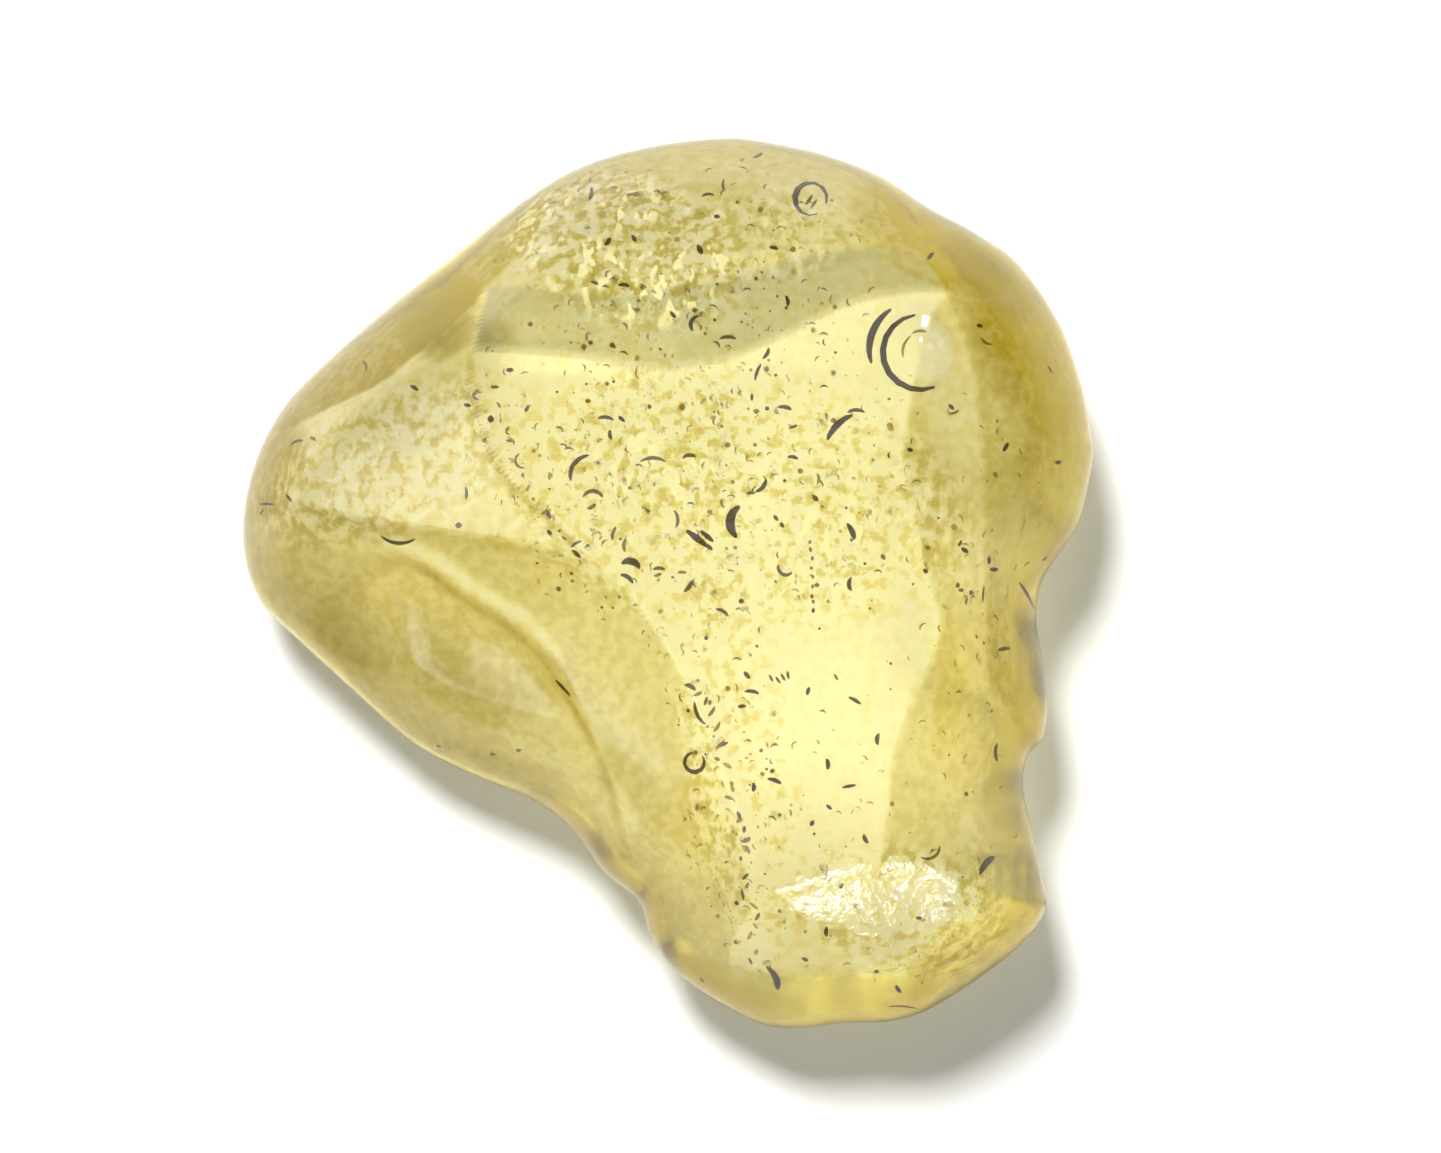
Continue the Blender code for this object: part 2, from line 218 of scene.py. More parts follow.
class Side:
    """One side of the stone: a dome and the scars broken off it, in order."""

    LEVEL_BLEND_MM = 0.3
    LEVEL_BLEND_POWER = 9
    COLOUR_AND_SHADE_EDGE_MM = 0.1

    def __init__(self, dome: Dome, scars: dict[Face, Scar]) -> None:
        """Breaks each scar off what is left by the scars before it.

        Args:
            dome: the surface that the side starts as.
            scars: the scars by name, in the order in which they broke off.
        """
        self.dome = dome
        self.cuts: list[tuple[Scar, np.ndarray, np.ndarray]] = []
        for scar in scars.values():
            line = smooth_line(scar.ridge_mm, closed=False)
            levels = self.survey(line[:, 0], line[:, 1])[0]
            self.cuts.append((scar, line, levels))

    def survey(self, x: np.ndarray, y: np.ndarray) -> tuple[np.ndarray, np.ndarray]:
        """How far out this side is, and its colour and painted shade.

        Args:
            x: the points' places along X.
            y: the points' places along Y.

        Returns:
            The height over each point, and its colour depth and neutral painted shade there.
        """
        height = self.dome.height(x, y)
        colour_and_shade = np.zeros((*x.shape, 2))
        for scar, line, levels in self.cuts:
            away, level = self.from_ridge(x, y, line, levels)
            face = level - scar.fall(away)
            share = np.clip((height - face) / self.COLOUR_AND_SHADE_EDGE_MM + 0.5, 0, 1)[..., None]
            colour_and_shade = colour_and_shade + (np.array(scar.colour_and_shade) - colour_and_shade) * share
            height = smooth_min(height, face, scar.wear_mm)
        return height, colour_and_shade

    def from_ridge(
        self, x: np.ndarray, y: np.ndarray, line: np.ndarray, levels: np.ndarray
    ) -> tuple[np.ndarray, np.ndarray]:
        """Where each point is from a ridge.

        Args:
            x: the points' places along X.
            y: the points' places along Y.
            line: the ridge's points.
            levels: the ridge's level at each of its points.

        Returns:
            How far each point is to the right of the ridge, and the level that the ridge has around there.
        """
        nearest = np.full(x.shape, np.inf)
        away = np.zeros(x.shape)
        weights = np.zeros(x.shape)
        weighed = np.zeros(x.shape)
        last = len(line) - 2
        for i in range(last + 1):
            span = line[i + 1] - line[i]
            dx = x - line[i][0]
            dy = y - line[i][1]
            along = (dx * span[0] + dy * span[1]) / (span @ span)
            held = np.clip(along, -np.inf if i == 0 else 0, np.inf if i == last else 1)
            far = np.hypot(dx - held * span[0], dy - held * span[1])
            closer = far < nearest
            right = np.sign(dx * span[1] - dy * span[0])
            nearest = np.where(closer, far, nearest)
            away = np.where(closer, far * right, away)
            share = np.clip(along, 0, 1)
            to_span = np.hypot(dx - share * span[0], dy - share * span[1])
            weight = 1 / (to_span + self.LEVEL_BLEND_MM) ** self.LEVEL_BLEND_POWER
            weights += weight
            weighed += weight * (levels[i] * (1 - share) + levels[i + 1] * share)
        return away, weighed / weights


@dataclass(frozen=True)
class Pit:
    """A small round pit, such as a burst bubble."""

    at_mm: Point
    radius_mm: float
    depth_mm: float
    roundness: float = 1.0

    def depth(self, x: np.ndarray, y: np.ndarray) -> np.ndarray:
        """How far the pit goes down at each point."""
        far = np.hypot(x - self.at_mm[0], y - self.at_mm[1]) / self.radius_mm
        return self.depth_mm * np.clip(1 - far**2, 0, 1) ** self.roundness


@dataclass(frozen=True)
class Swell:
    """A slow wave in a surface: its height, how fast it turns along X and along Y, and its phase."""

    height_mm: float
    turn_per_mm: Point
    phase: float

    def height(self, x: np.ndarray, y: np.ndarray) -> np.ndarray:
        """The height of the wave at each point."""
        return self.height_mm * np.sin(self.turn_per_mm[0] * x + self.turn_per_mm[1] * y + self.phase)


@dataclass(frozen=True)
class EdgeRounding:
    """How a side leaves the stone's edge: steep at first, as on a rounded edge, and then a bevel."""

    round_mm: float
    bevel_slope: float
    wear_mm: float

    def rise(self, inwards: np.ndarray) -> np.ndarray:
        """How far the side has left the edge at each distance inwards from it."""
        return np.sqrt(2 * self.round_mm * inwards) + self.bevel_slope * inwards


OUTLINE_MM: tuple[Point, ...] = (
    (17.05, 4.9), (16.95, 5.9), (16.6, 7.8), (15.7, 10.3), (14.1, 12.6), (12.3, 13.9),
    (10.5, 14.9), (8.6, 16.2), (6.4, 17.1), (4.2, 17.6), (2.5, 17.8), (-0.3, 17.5),
    (-3.0, 16.8), (-5.3, 15.6), (-8.3, 13.3), (-11.7, 10.6), (-14.6, 8.0), (-15.9, 6.3),
    (-16.7, 4.4), (-17.05, 2.2), (-16.8, 0.4), (-16.2, -0.9), (-15.0, -2.1), (-12.4, -4.5),
    (-10.2, -6.4), (-8.2, -7.5), (-5.2, -8.8), (-3.7, -10.0), (-2.5, -11.6), (-1.1, -12.8),
    (-0.7, -14.0), (0.1, -15.3), (1.6, -16.5), (3.7, -17.6), (5.3, -17.8), (7.0, -17.6),
    (8.8, -17.55), (10.4, -17.1), (12.5, -15.8), (14.2, -14.4), (15.05, -13.2), (15.0, -12.1),
    (14.4, -9.4), (14.2, -8.1), (14.4, -7.0), (15.0, -6.3), (15.2, -5.0), (15.1, -3.6),
    (14.8, -2.0), (14.8, -0.8), (15.1, 0.2), (15.7, 1.1), (16.5, 2.4),
)

UPPER_SCARS: dict[Face, Scar] = {
    Face.FAR_SHOULDER: Scar(
        ridge_mm=(
            (14.0, 10.6), (10.3, 10.8), (7.2, 10.2), (4.3, 8.8), (2.2, 8.0), (-0.6, 7.7),
            (-4.0, 8.2), (-9.5, 8.6),
        ),
        colour_and_shade=(0.16, 0.76),
        slope=0.2,
        wear_mm=0.1,
    ),
    Face.FAR_SLOPE: Scar(
        ridge_mm=(
            (13.0, 12.3), (9.7, 12.6), (6.1, 12.3), (2.1, 11.2), (-1.9, 10.7), (-5.9, 11.1),
            (-9.5, 11.7),
        ),
        colour_and_shade=(0.3, 0.46),
        slope=0.42,
        wear_mm=0.25,
    ),
    Face.RIGHT_SLOPE: Scar(
        ridge_mm=(
            (7.6, -16.0), (8.6, -9.8), (8.8, -7.5), (9.7, -4.8), (10.7, -2.4), (9.7, 1.4),
            (9.3, 4.5), (9.9, 9.0),
        ),
        colour_and_shade=(0.3, 0.29),
        slope=0.28,
        wear_mm=0.6,
    ),
    Face.FAR_RIGHT_SLOPE: Scar(
        ridge_mm=((12.6, -4.0), (12.5, 1.0), (12.3, 5.0), (11.7, 8.9), (10.2, 12.3), (8.0, 15.5)),
        colour_and_shade=(0.6, 0.3),
        slope=0.5,
        wear_mm=0.8,
    ),
    Face.LEFT_FACET: Scar(
        ridge_mm=(
            (-6.9, 13.0), (-7.1, 10.9), (-7.5, 8.0), (-7.2, 5.8), (-6.3, 3.8), (-4.5, 2.0),
            (-3.4, 0.8), (-2.9, -0.5), (-2.8, -3.0),
        ),
        colour_and_shade=(0.12, 0.1),
        slope=0.32,
        wall_mm=0.2,
        wall_width_mm=0.6,
        wear_mm=0.12,
    ),
    Face.FAR_LEFT_BEVEL: Scar(
        ridge_mm=(
            (-4.0, 16.6), (-5.2, 13.4), (-7.1, 11.1), (-9.1, 9.2), (-11.1, 7.5), (-13.5, 6.5),
            (-15.2, 5.9),
        ),
        colour_and_shade=(0.95, 0.1),
        slope=0.75,
        wear_mm=0.3,
    ),
    Face.SCOOP: Scar(
        ridge_mm=(
            (-16.8, 4.1), (-14.5, 2.8), (-12.2, 2.1), (-9.4, 1.6), (-7.3, 1.2), (-4.1, 0.6),
            (-2.2, -0.3), (-0.4, -2.5), (1.0, -5.0), (1.9, -7.3), (2.6, -9.2), (3.1, -11.4),
            (3.3, -14.0), (3.2, -16.5),
        ),
        colour_and_shade=(0.3, 0.2),
        slope=0.5,
        wall_mm=0.7,
        wall_width_mm=1.0,
        hollow=0.045,
        wear_mm=0.2,
    ),
    Face.WING_DISH: Scar(
        ridge_mm=(
            (-17.3, -0.9), (-15.8, -1.0), (-14.3, -0.8), (-13.2, -0.3), (-12.0, 0.5), (-10.8, 0.7),
            (-9.4, 0.3), (-7.7, -0.9), (-5.7, -2.2), (-4.3, -3.7), (-3.1, -5.7), (-2.2, -7.6),
            (-1.6, -9.9), (-0.9, -13.5),
        ),
        colour_and_shade=(0.45, 0.08),
        slope=0.16,
        wall_mm=1.0,
        wall_width_mm=0.8,
        hollow=0.012,
        wear_mm=0.12,
    ),
    Face.WING_LIP: Scar(
        ridge_mm=(
            (-12.0, -5.6), (-9.1, -6.5), (-5.9, -7.4), (-2.9, -8.1), (-1.8, -10.2), (-1.1, -12.6),
            (-0.9, -15.0),
        ),
        colour_and_shade=(0.45, 0.0),
        slope=0.75,
        wear_mm=0.15,
    ),
    Face.NEAR_END_FACE: Scar(
        ridge_mm=(
            (2.6, -14.4), (3.6, -13.1), (5.2, -12.4), (7.1, -11.8), (8.8, -11.6), (10.6, -11.9),
            (11.8, -13.0), (13.2, -14.4),
        ),
        colour_and_shade=(0.0, 0.0),
        slope=0.3,
        wall_mm=0.25,
        wall_width_mm=0.5,
        wear_mm=0.12,
    ),
    Face.NEAR_END_CHIP: Scar(
        ridge_mm=(
            (5.4, -15.3), (6.4, -14.1), (7.5, -13.5), (8.6, -13.3), (9.6, -13.7), (10.4, -14.3),
            (10.8, -15.3),
        ),
        colour_and_shade=(0.08, 0.0),
        slope=0.3,
        wall_mm=0.15,
        wall_width_mm=0.4,
        wear_mm=0.12,
    ),
    Face.FAR_RIGHT_LEDGE: Scar(
        ridge_mm=((16.3, 9.0), (15.4, 10.6), (14.5, 11.8), (13.2, 12.9), (11.2, 14.1)),
        colour_and_shade=(0.1, 0.0),
        slope=0.1,
        wall_mm=2.6,
        wall_width_mm=0.3,
        wear_mm=0.3,
    ),
}

LOWER_SCARS: dict[Face, Scar] = {
    Face.FAR_UNDERSIDE: Scar(
        ridge_mm=((13.0, 11.0), (9.0, 9.2), (3.0, 8.8), (-3.0, 8.6), (-9.0, 9.0)),
        slope=0.32,
        wear_mm=0.5,
    ),
    Face.WING_UNDERSIDE: Scar(
        ridge_mm=((-7.5, 12.0), (-6.5, 5.0), (-4.0, 1.0), (-1.0, -4.0), (1.5, -9.0), (2.5, -14.0)),
        slope=0.22,
        wear_mm=0.4,
    ),
    Face.RIGHT_UNDERSIDE: Scar(
        ridge_mm=((8.5, -14.0), (9.0, -8.0), (10.3, -2.0), (9.5, 5.0), (9.0, 12.0)),
        slope=0.5,
        wear_mm=0.5,
    ),
    Face.NEAR_UNDERSIDE: Scar(
        ridge_mm=((-2.0, -11.0), (3.0, -12.0), (8.0, -12.0), (14.0, -11.5)),
        slope=0.42,
        wear_mm=0.4,
    ),
}

PITS: dict[str, Pit] = {
    "burst_bubble": Pit(at_mm=(9.75, 8.45), radius_mm=1.55, depth_mm=0.5),
    "burst_bubble_floor": Pit(at_mm=(9.95, 8.6), radius_mm=0.8, depth_mm=0.25),
    "round_bubble": Pit(at_mm=(5.6, 14.55), radius_mm=0.62, depth_mm=0.35, roundness=0.6),
    "right_notch": Pit(at_mm=(15.6, -0.8), radius_mm=1.8, depth_mm=0.9),
    "near_right_notch": Pit(at_mm=(15.0, -7.9), radius_mm=1.7, depth_mm=0.9),
    "near_left_notch": Pit(at_mm=(-1.9, -13.2), radius_mm=2.2, depth_mm=0.9),
}

FACE_SWELLS: tuple[Swell, ...] = (
    Swell(height_mm=0.05, turn_per_mm=(0.47, 0.29), phase=0.4),
    Swell(height_mm=0.04, turn_per_mm=(0.21, -0.58), phase=1.7),
    Swell(height_mm=0.02, turn_per_mm=(1.13, 0.87), phase=2.9),
)


@dataclass
class StoneForm:
    """The form of the stone: its outline, its two sides and the pits and swells on them."""

    size_mm: Point
    hub_mm: Point = (3.7, 2.4)
    cells: int = 232
    edge_crowding: float = 1.25
    upper_dome: Dome = Dome(at_mm=(2.5, 2.0), height_mm=12.0, radius_mm=(130, 100))
    lower_dome: Dome = Dome(at_mm=(1.5, 0.0), height_mm=0.25, radius_mm=(110, 140))
    upper_edge: EdgeRounding = EdgeRounding(round_mm=2.0, bevel_slope=0.7, wear_mm=0.9)
    lower_edge: EdgeRounding = EdgeRounding(round_mm=1.1, bevel_slope=0.4, wear_mm=0.6)
    edge_height_mm: float = 4.2
    edge_tilt: Point = (0.045, 0.03)
    edge_wander: Swell = Swell(height_mm=0.25, turn_per_mm=(0.35, -0.2), phase=0)
    bend_x: Swell = Swell(height_mm=1.4, turn_per_mm=(0, 0.41), phase=0.8)
    bend_y: Swell = Swell(height_mm=1.7, turn_per_mm=(0.37, 0), phase=-0.5)
    swell_fade_mm: float = 1.0
    edge_clearance_mm: float = 0.5
    # Deeper colour and painted shade on the rim, which should look darker there.
    edge_colour_and_shade: Tint = (0.85, 0.12)
    edge_colour_and_shade_mm: float = 1.3
    outline: np.ndarray = field(init=False)
    upper: Side = field(init=False)
    lower: Side = field(init=False)

    def __post_init__(self) -> None:
        """Draws the outline and breaks the scars off both sides."""
        self.outline = smooth_line(OUTLINE_MM, closed=True)
        self.upper = Side(self.upper_dome, UPPER_SCARS)
        self.lower = Side(self.lower_dome, LOWER_SCARS)

    def inwards(self, x: np.ndarray, y: np.ndarray) -> np.ndarray:
        """How far some places are from the outline.

        Args:
            x: the points' places along X.
            y: the points' places along Y.

        Returns:
            The distance of each point.
        """
        spans = np.roll(self.outline, -1, axis=0) - self.outline
        nearest = np.full(x.shape, np.inf)
        for (sx, sy), (vx, vy) in zip(self.outline, spans):
            along = np.clip(((x - sx) * vx + (y - sy) * vy) / (vx * vx + vy * vy), 0, 1)
            nearest = np.minimum(nearest, np.hypot(x - sx - along * vx, y - sy - along * vy))
        return nearest

    def edge_height(self, x: np.ndarray, y: np.ndarray) -> np.ndarray:
        """The height of the edge over the ground, which tilts and wanders up and down."""
        tilt = self.edge_tilt[0] * x + self.edge_tilt[1] * y
        return self.edge_height_mm + tilt + self.edge_wander.height(x, y)

    def undulation(self, x: np.ndarray, y: np.ndarray) -> np.ndarray:
        """The slow rise and fall that wear has left on the upper faces.

        Args:
            x: the points' places along X.
            y: the points' places along Y.

        Returns:
            The rise at each point.
        """
        bent_x = x + self.bend_x.height(x, y)
        bent_y = y + self.bend_y.height(x, y)
        return sum(swell.height(bent_x, bent_y) for swell in FACE_SWELLS)

    def painted_creases(self, x: np.ndarray, y: np.ndarray) -> np.ndarray:
        """How much the painted creases change the colour and painted shade.

        Args:
            x: the points' places along X.
            y: the points' places along Y.

        Returns:
            The change of colour depth and of neutral painted shade at each point.
        """
        change = np.zeros((*x.shape, 2))
        for painted_crease in PAINTED_CREASES:
            line = smooth_line(UPPER_SCARS[painted_crease.beside].ridge_mm, closed=False)
            away = self.upper.from_ridge(x, y, line, np.zeros(len(line)))[0]
            share = np.exp(-(((away - painted_crease.past_ridge_mm) / painted_crease.width_mm) ** 2))
            near = painted_crease.within.weight(x, y)
            change = change + (share * near)[..., None] * np.array(painted_crease.change)
        return change

    def top(self, x: np.ndarray, y: np.ndarray, inwards: np.ndarray) -> tuple[np.ndarray, np.ndarray]:
        """The upper surface.

        Args:
            x: the points' places along X.
            y: the points' places along Y.
            inwards: how far each point is from the outline.

        Returns:
            The height, and the colour and painted shade, at each point.
        """
        height, colour_and_shade = self.upper.survey(x, y)
        height = height + np.clip(inwards / self.swell_fade_mm, 0, 1) * self.undulation(x, y)
        for pit in PITS.values():
            height = height - pit.depth(x, y)
        edge = self.edge_height(x, y)
        height = smooth_max(height, edge + self.edge_clearance_mm, self.edge_clearance_mm)
        height = smooth_min(height, edge + self.upper_edge.rise(inwards), self.upper_edge.wear_mm)
        for zone, change in COLOUR_AND_SHADE_ZONES:
            colour_and_shade = colour_and_shade + zone.weight(x, y)[..., None] * np.array(change)
        colour_and_shade = colour_and_shade + self.painted_creases(x, y)
        # The rim gets deeper colour and painted shade.
        worn = np.exp(-((inwards / self.edge_colour_and_shade_mm) ** 2))[..., None]
        return height, colour_and_shade + (np.array(self.edge_colour_and_shade) - colour_and_shade) * worn

    def under_height(self, x: np.ndarray, y: np.ndarray, inwards: np.ndarray) -> np.ndarray:
        """The underside, which is flat where it meets the ground.

        Args:
            x: the points' places along X.
            y: the points' places along Y.
            inwards: how far each point is from the outline.

        Returns:
            The height at each point.
        """
        edge = self.edge_height(x, y)
        clear = self.edge_clearance_mm
        height = smooth_min(-self.lower.survey(x, y)[0], edge - clear, clear)
        height = smooth_max(height, edge - self.lower_edge.rise(inwards), self.lower_edge.wear_mm)
        return np.maximum(height, 0)

    def square_to_disc(self) -> tuple[np.ndarray, np.ndarray]:
        """A square grid laid on a disc.

        Returns:
            The share of the way out of each corner, and its direction.
        """
        side = np.linspace(-1, 1, self.cells + 1)
        a, b = np.meshgrid(side, side, indexing="ij")
        wide = np.abs(a) > np.abs(b)
        with np.errstate(divide="ignore", invalid="ignore"):
            turn = np.where(wide, math.pi / 4 * b / a, math.pi / 2 - math.pi / 4 * a / b)
        turn = np.where(np.where(wide, a, b) < 0, turn + math.pi, turn)
        turn = np.where((a == 0) & (b == 0), 0, turn)
        return np.maximum(np.abs(a), np.abs(b)), turn

    def spread(self) -> tuple[np.ndarray, np.ndarray, np.ndarray]:
        """A grid of places that covers the stone, seen from above.

        Returns:
            Each corner's X, its Y and its share of the way out.
        """
        share, turn = self.square_to_disc()
        hub = np.array(self.hub_mm)
        reach = np.hypot(*(self.outline - hub).T)
        bearing = np.arctan2(self.outline[:, 1] - hub[1], self.outline[:, 0] - hub[0]) % (2 * math.pi)
        order = np.argsort(bearing)
        edge = np.interp(turn % (2 * math.pi), bearing[order], reach[order], period=2 * math.pi)
        radius = edge * (1 - (1 - share) ** self.edge_crowding)
        return hub[0] + radius * np.cos(turn), hub[1] + radius * np.sin(turn), share

    def fit(self, x: np.ndarray, y: np.ndarray) -> tuple[np.ndarray, np.ndarray]:
        """Stretches and centres places so that the outline has the solid's width and depth.

        Args:
            x: the points' places along X.
            y: the points' places along Y.

        Returns:
            The new X and the new Y of each point.
        """
        low = self.outline.min(axis=0)
        high = self.outline.max(axis=0)
        fitted_x = (x - (low[0] + high[0]) / 2) * self.size_mm[0] / (high[0] - low[0])
        fitted_y = (y - (low[1] + high[1]) / 2) * self.size_mm[1] / (high[1] - low[1])
        return fitted_x, fitted_y


@dataclass(frozen=True)
class Zone:
    """A soft-edged oval of the upper surface, in which something is stronger or weaker."""

    at_mm: Point
    radius_mm: Point
    turn_deg: float = 0.0
    strength: float = 1.0

    def weight(self, x: np.ndarray, y: np.ndarray) -> np.ndarray:
        """How much of the zone some places have.

        Args:
            x: the points' places along X.
            y: the points' places along Y.

        Returns:
            The zone's strength at its middle, down to 0 at its edge and outside.
        """
        turn = math.radians(self.turn_deg)
        dx = x - self.at_mm[0]
        dy = y - self.at_mm[1]
        along = (dx * math.cos(turn) + dy * math.sin(turn)) / self.radius_mm[0]
        across = (dy * math.cos(turn) - dx * math.sin(turn)) / self.radius_mm[1]
        inside = np.clip(1 - along**2 - across**2, 0, 1)
        return self.strength * inside * (2 - inside)


# Painted shade and painted light: each oval makes the skin deeper and greyer, or paler where its change is
# below 0, so that it reads darker or lighter.
COLOUR_AND_SHADE_ZONES: tuple[tuple[Zone, Tint], ...] = (
    (Zone(at_mm=(10.5, 13.6), radius_mm=(4.0, 2.5), turn_deg=-30), (0.7, -0.3)),
    (Zone(at_mm=(14.6, 8.5), radius_mm=(2.5, 4.0), turn_deg=30), (0.45, -0.05)),
    (Zone(at_mm=(15.5, 4.0), radius_mm=(2.0, 3.0)), (0.25, 0.0)),
    (Zone(at_mm=(12.5, -5.0), radius_mm=(2.5, 5.0)), (0.35, -0.2)),
    (Zone(at_mm=(0.0, 4.5), radius_mm=(4.0, 3.0)), (0.03, 0.15)),
    (Zone(at_mm=(6.8, 2.0), radius_mm=(2.5, 3.0)), (0.05, 0.15)),
    (Zone(at_mm=(2.5, -2.5), radius_mm=(5.0, 5.0)), (0.0, 0.08)),
    (Zone(at_mm=(-8.9, 10.2), radius_mm=(1.8, 2.2)), (0.8, 0.25)),
    (Zone(at_mm=(-9.5, 7.0), radius_mm=(4.5, 2.2), turn_deg=35), (0.08, 0.32)),
    (Zone(at_mm=(-6.1, 2.1), radius_mm=(2.5, 1.5)), (0.12, -0.05)),
    (Zone(at_mm=(-16.0, 4.5), radius_mm=(2.0, 2.5)), (0.85, -0.2)),
    (Zone(at_mm=(-14.1, 0.8), radius_mm=(2.5, 1.8)), (0.1, -0.2)),
    (Zone(at_mm=(-6.5, 0.0), radius_mm=(4.0, 1.3), turn_deg=-15), (0.08, 0.0)),
    (Zone(at_mm=(0.8, -11.5), radius_mm=(2.0, 3.5)), (0.12, -0.08)),
    (Zone(at_mm=(-4.5, -6.8), radius_mm=(2.4, 2.0)), (-0.22, -0.15)),
    (Zone(at_mm=(-3.2, -9.8), radius_mm=(2.2, 1.8)), (-0.15, -0.35)),
    (Zone(at_mm=(9.8, 8.5), radius_mm=(1.5, 1.5)), (-0.3, -0.2)),
    (Zone(at_mm=(5.5, -14.2), radius_mm=(2.6, 1.6)), (0.15, 0.0)),
    (Zone(at_mm=(5.7, -16.8), radius_mm=(4.5, 1.5)), (0.45, 0.0)),
    (Zone(at_mm=(12.0, -15.2), radius_mm=(3.5, 1.5), turn_deg=35), (0.4, 0.0)),
    (Zone(at_mm=(8.9, -12.9), radius_mm=(3.5, 1.5)), (-0.2, -0.1)),
    (Zone(at_mm=(12.4, 6.6), radius_mm=(2.6, 3.0)), (-0.13, -0.12)),
    (Zone(at_mm=(9.7, 3.6), radius_mm=(1.8, 2.6)), (0.05, 0.06)),
    (Zone(at_mm=(13.5, -13.0), radius_mm=(2.2, 2.2)), (0.0, -0.35)),
)


@dataclass(frozen=True)
class PaintedCrease:
    """A thin line of painted shade beside the ridge of a scar, within a zone; where its change is below 0, a
    painted highlight.
    """

    beside: Face
    past_ridge_mm: float
    width_mm: float
    change: Tint
    within: Zone


# Painted shade in the creases beside ridges, and painted highlights where ridge crests catch the light.
PAINTED_CREASES: tuple[PaintedCrease, ...] = (
    PaintedCrease(
        Face.WING_DISH, 0.25, 0.18, (0.35, 0.25),
        Zone(at_mm=(-6.5, -2.5), radius_mm=(6.5, 2.6), turn_deg=-40),
    ),
    PaintedCrease(
        Face.WING_DISH, -0.35, 0.3, (-0.35, -0.3),
        Zone(at_mm=(-7.5, -0.8), radius_mm=(4.5, 2.2), turn_deg=-35),
    ),
    PaintedCrease(
        Face.WING_DISH, 0.25, 0.18, (0.3, 0.2),
        Zone(at_mm=(-2.4, -8.0), radius_mm=(2.5, 4.5)),
    ),
    PaintedCrease(
        Face.WING_LIP, 0.1, 0.2, (0.3, 0.3),
        Zone(at_mm=(-8.0, -6.5), radius_mm=(4.5, 1.5), turn_deg=-15),
    ),
    PaintedCrease(
        Face.LEFT_FACET, 0.1, 0.16, (0.6, 0.35),
        Zone(at_mm=(-5.8, 4.0), radius_mm=(5.0, 2.5), turn_deg=-60),
    ),
    PaintedCrease(
        Face.SCOOP, 0.15, 0.25, (0.15, 0.1),
        Zone(at_mm=(-9.0, 1.5), radius_mm=(6.0, 2.5), turn_deg=-10),
    ),
    PaintedCrease(
        Face.SCOOP, -0.3, 0.35, (-0.3, -0.1),
        Zone(at_mm=(2.6, -9.0), radius_mm=(2.5, 7.0), turn_deg=10),
    ),
)


def joint_weight(zones: tuple[Zone, ...], x: np.ndarray, y: np.ndarray) -> np.ndarray:
    """How much of some zones together each point has, from 0 to 1."""
    return np.clip(sum(zone.weight(x, y) for zone in zones), 0, 1)


ETCHED_ZONES: tuple[Zone, ...] = (
    Zone(at_mm=(-1.8, 12.8), radius_mm=(5.6, 3.4), turn_deg=-25),
    Zone(at_mm=(4.2, 13.2), radius_mm=(3.5, 2.2), strength=0.35),
    Zone(at_mm=(2.8, 2.6), radius_mm=(9.5, 5.6), turn_deg=-10, strength=0.9),
    Zone(at_mm=(-0.7, 5.0), radius_mm=(4.5, 3.0), strength=0.5),
    Zone(at_mm=(-10.5, 4.3), radius_mm=(6.5, 3.0), turn_deg=20, strength=0.7),
    Zone(at_mm=(9.3, -13.3), radius_mm=(4.8, 2.6), turn_deg=-15),
    Zone(at_mm=(3.0, -8.0), radius_mm=(2.4, 7.5), turn_deg=10, strength=0.7),
)

BUBBLY_ZONES: tuple[Zone, ...] = (
    Zone(at_mm=(1.5, 4.5), radius_mm=(10.0, 7.5), turn_deg=-20),
    Zone(at_mm=(2.4, -7.0), radius_mm=(2.2, 9.0), turn_deg=8, strength=0.9),
    Zone(at_mm=(1.0, 13.0), radius_mm=(9.0, 4.0), turn_deg=-10, strength=0.4),
    Zone(at_mm=(12.5, 0.0), radius_mm=(3.0, 8.0), strength=0.25),
    Zone(at_mm=(8.0, -10.0), radius_mm=(6.0, 7.0), strength=0.25),
)


@dataclass(frozen=True)
class Stroke:
    """A bubble squeezed to a thin arc, as it shows in the photograph, in pixels of its 1441 x 1153 frame.

    It is given by the middle of the arc, its length, the way that its outer side faces, counter-clockwise
    from the right, how far it bends, its greatest width and how dark its painted shade is.
    """

    middle_px: Point
    length_px: float
    facing_deg: float
    bend_deg: float
    width_px: float
    dark: float


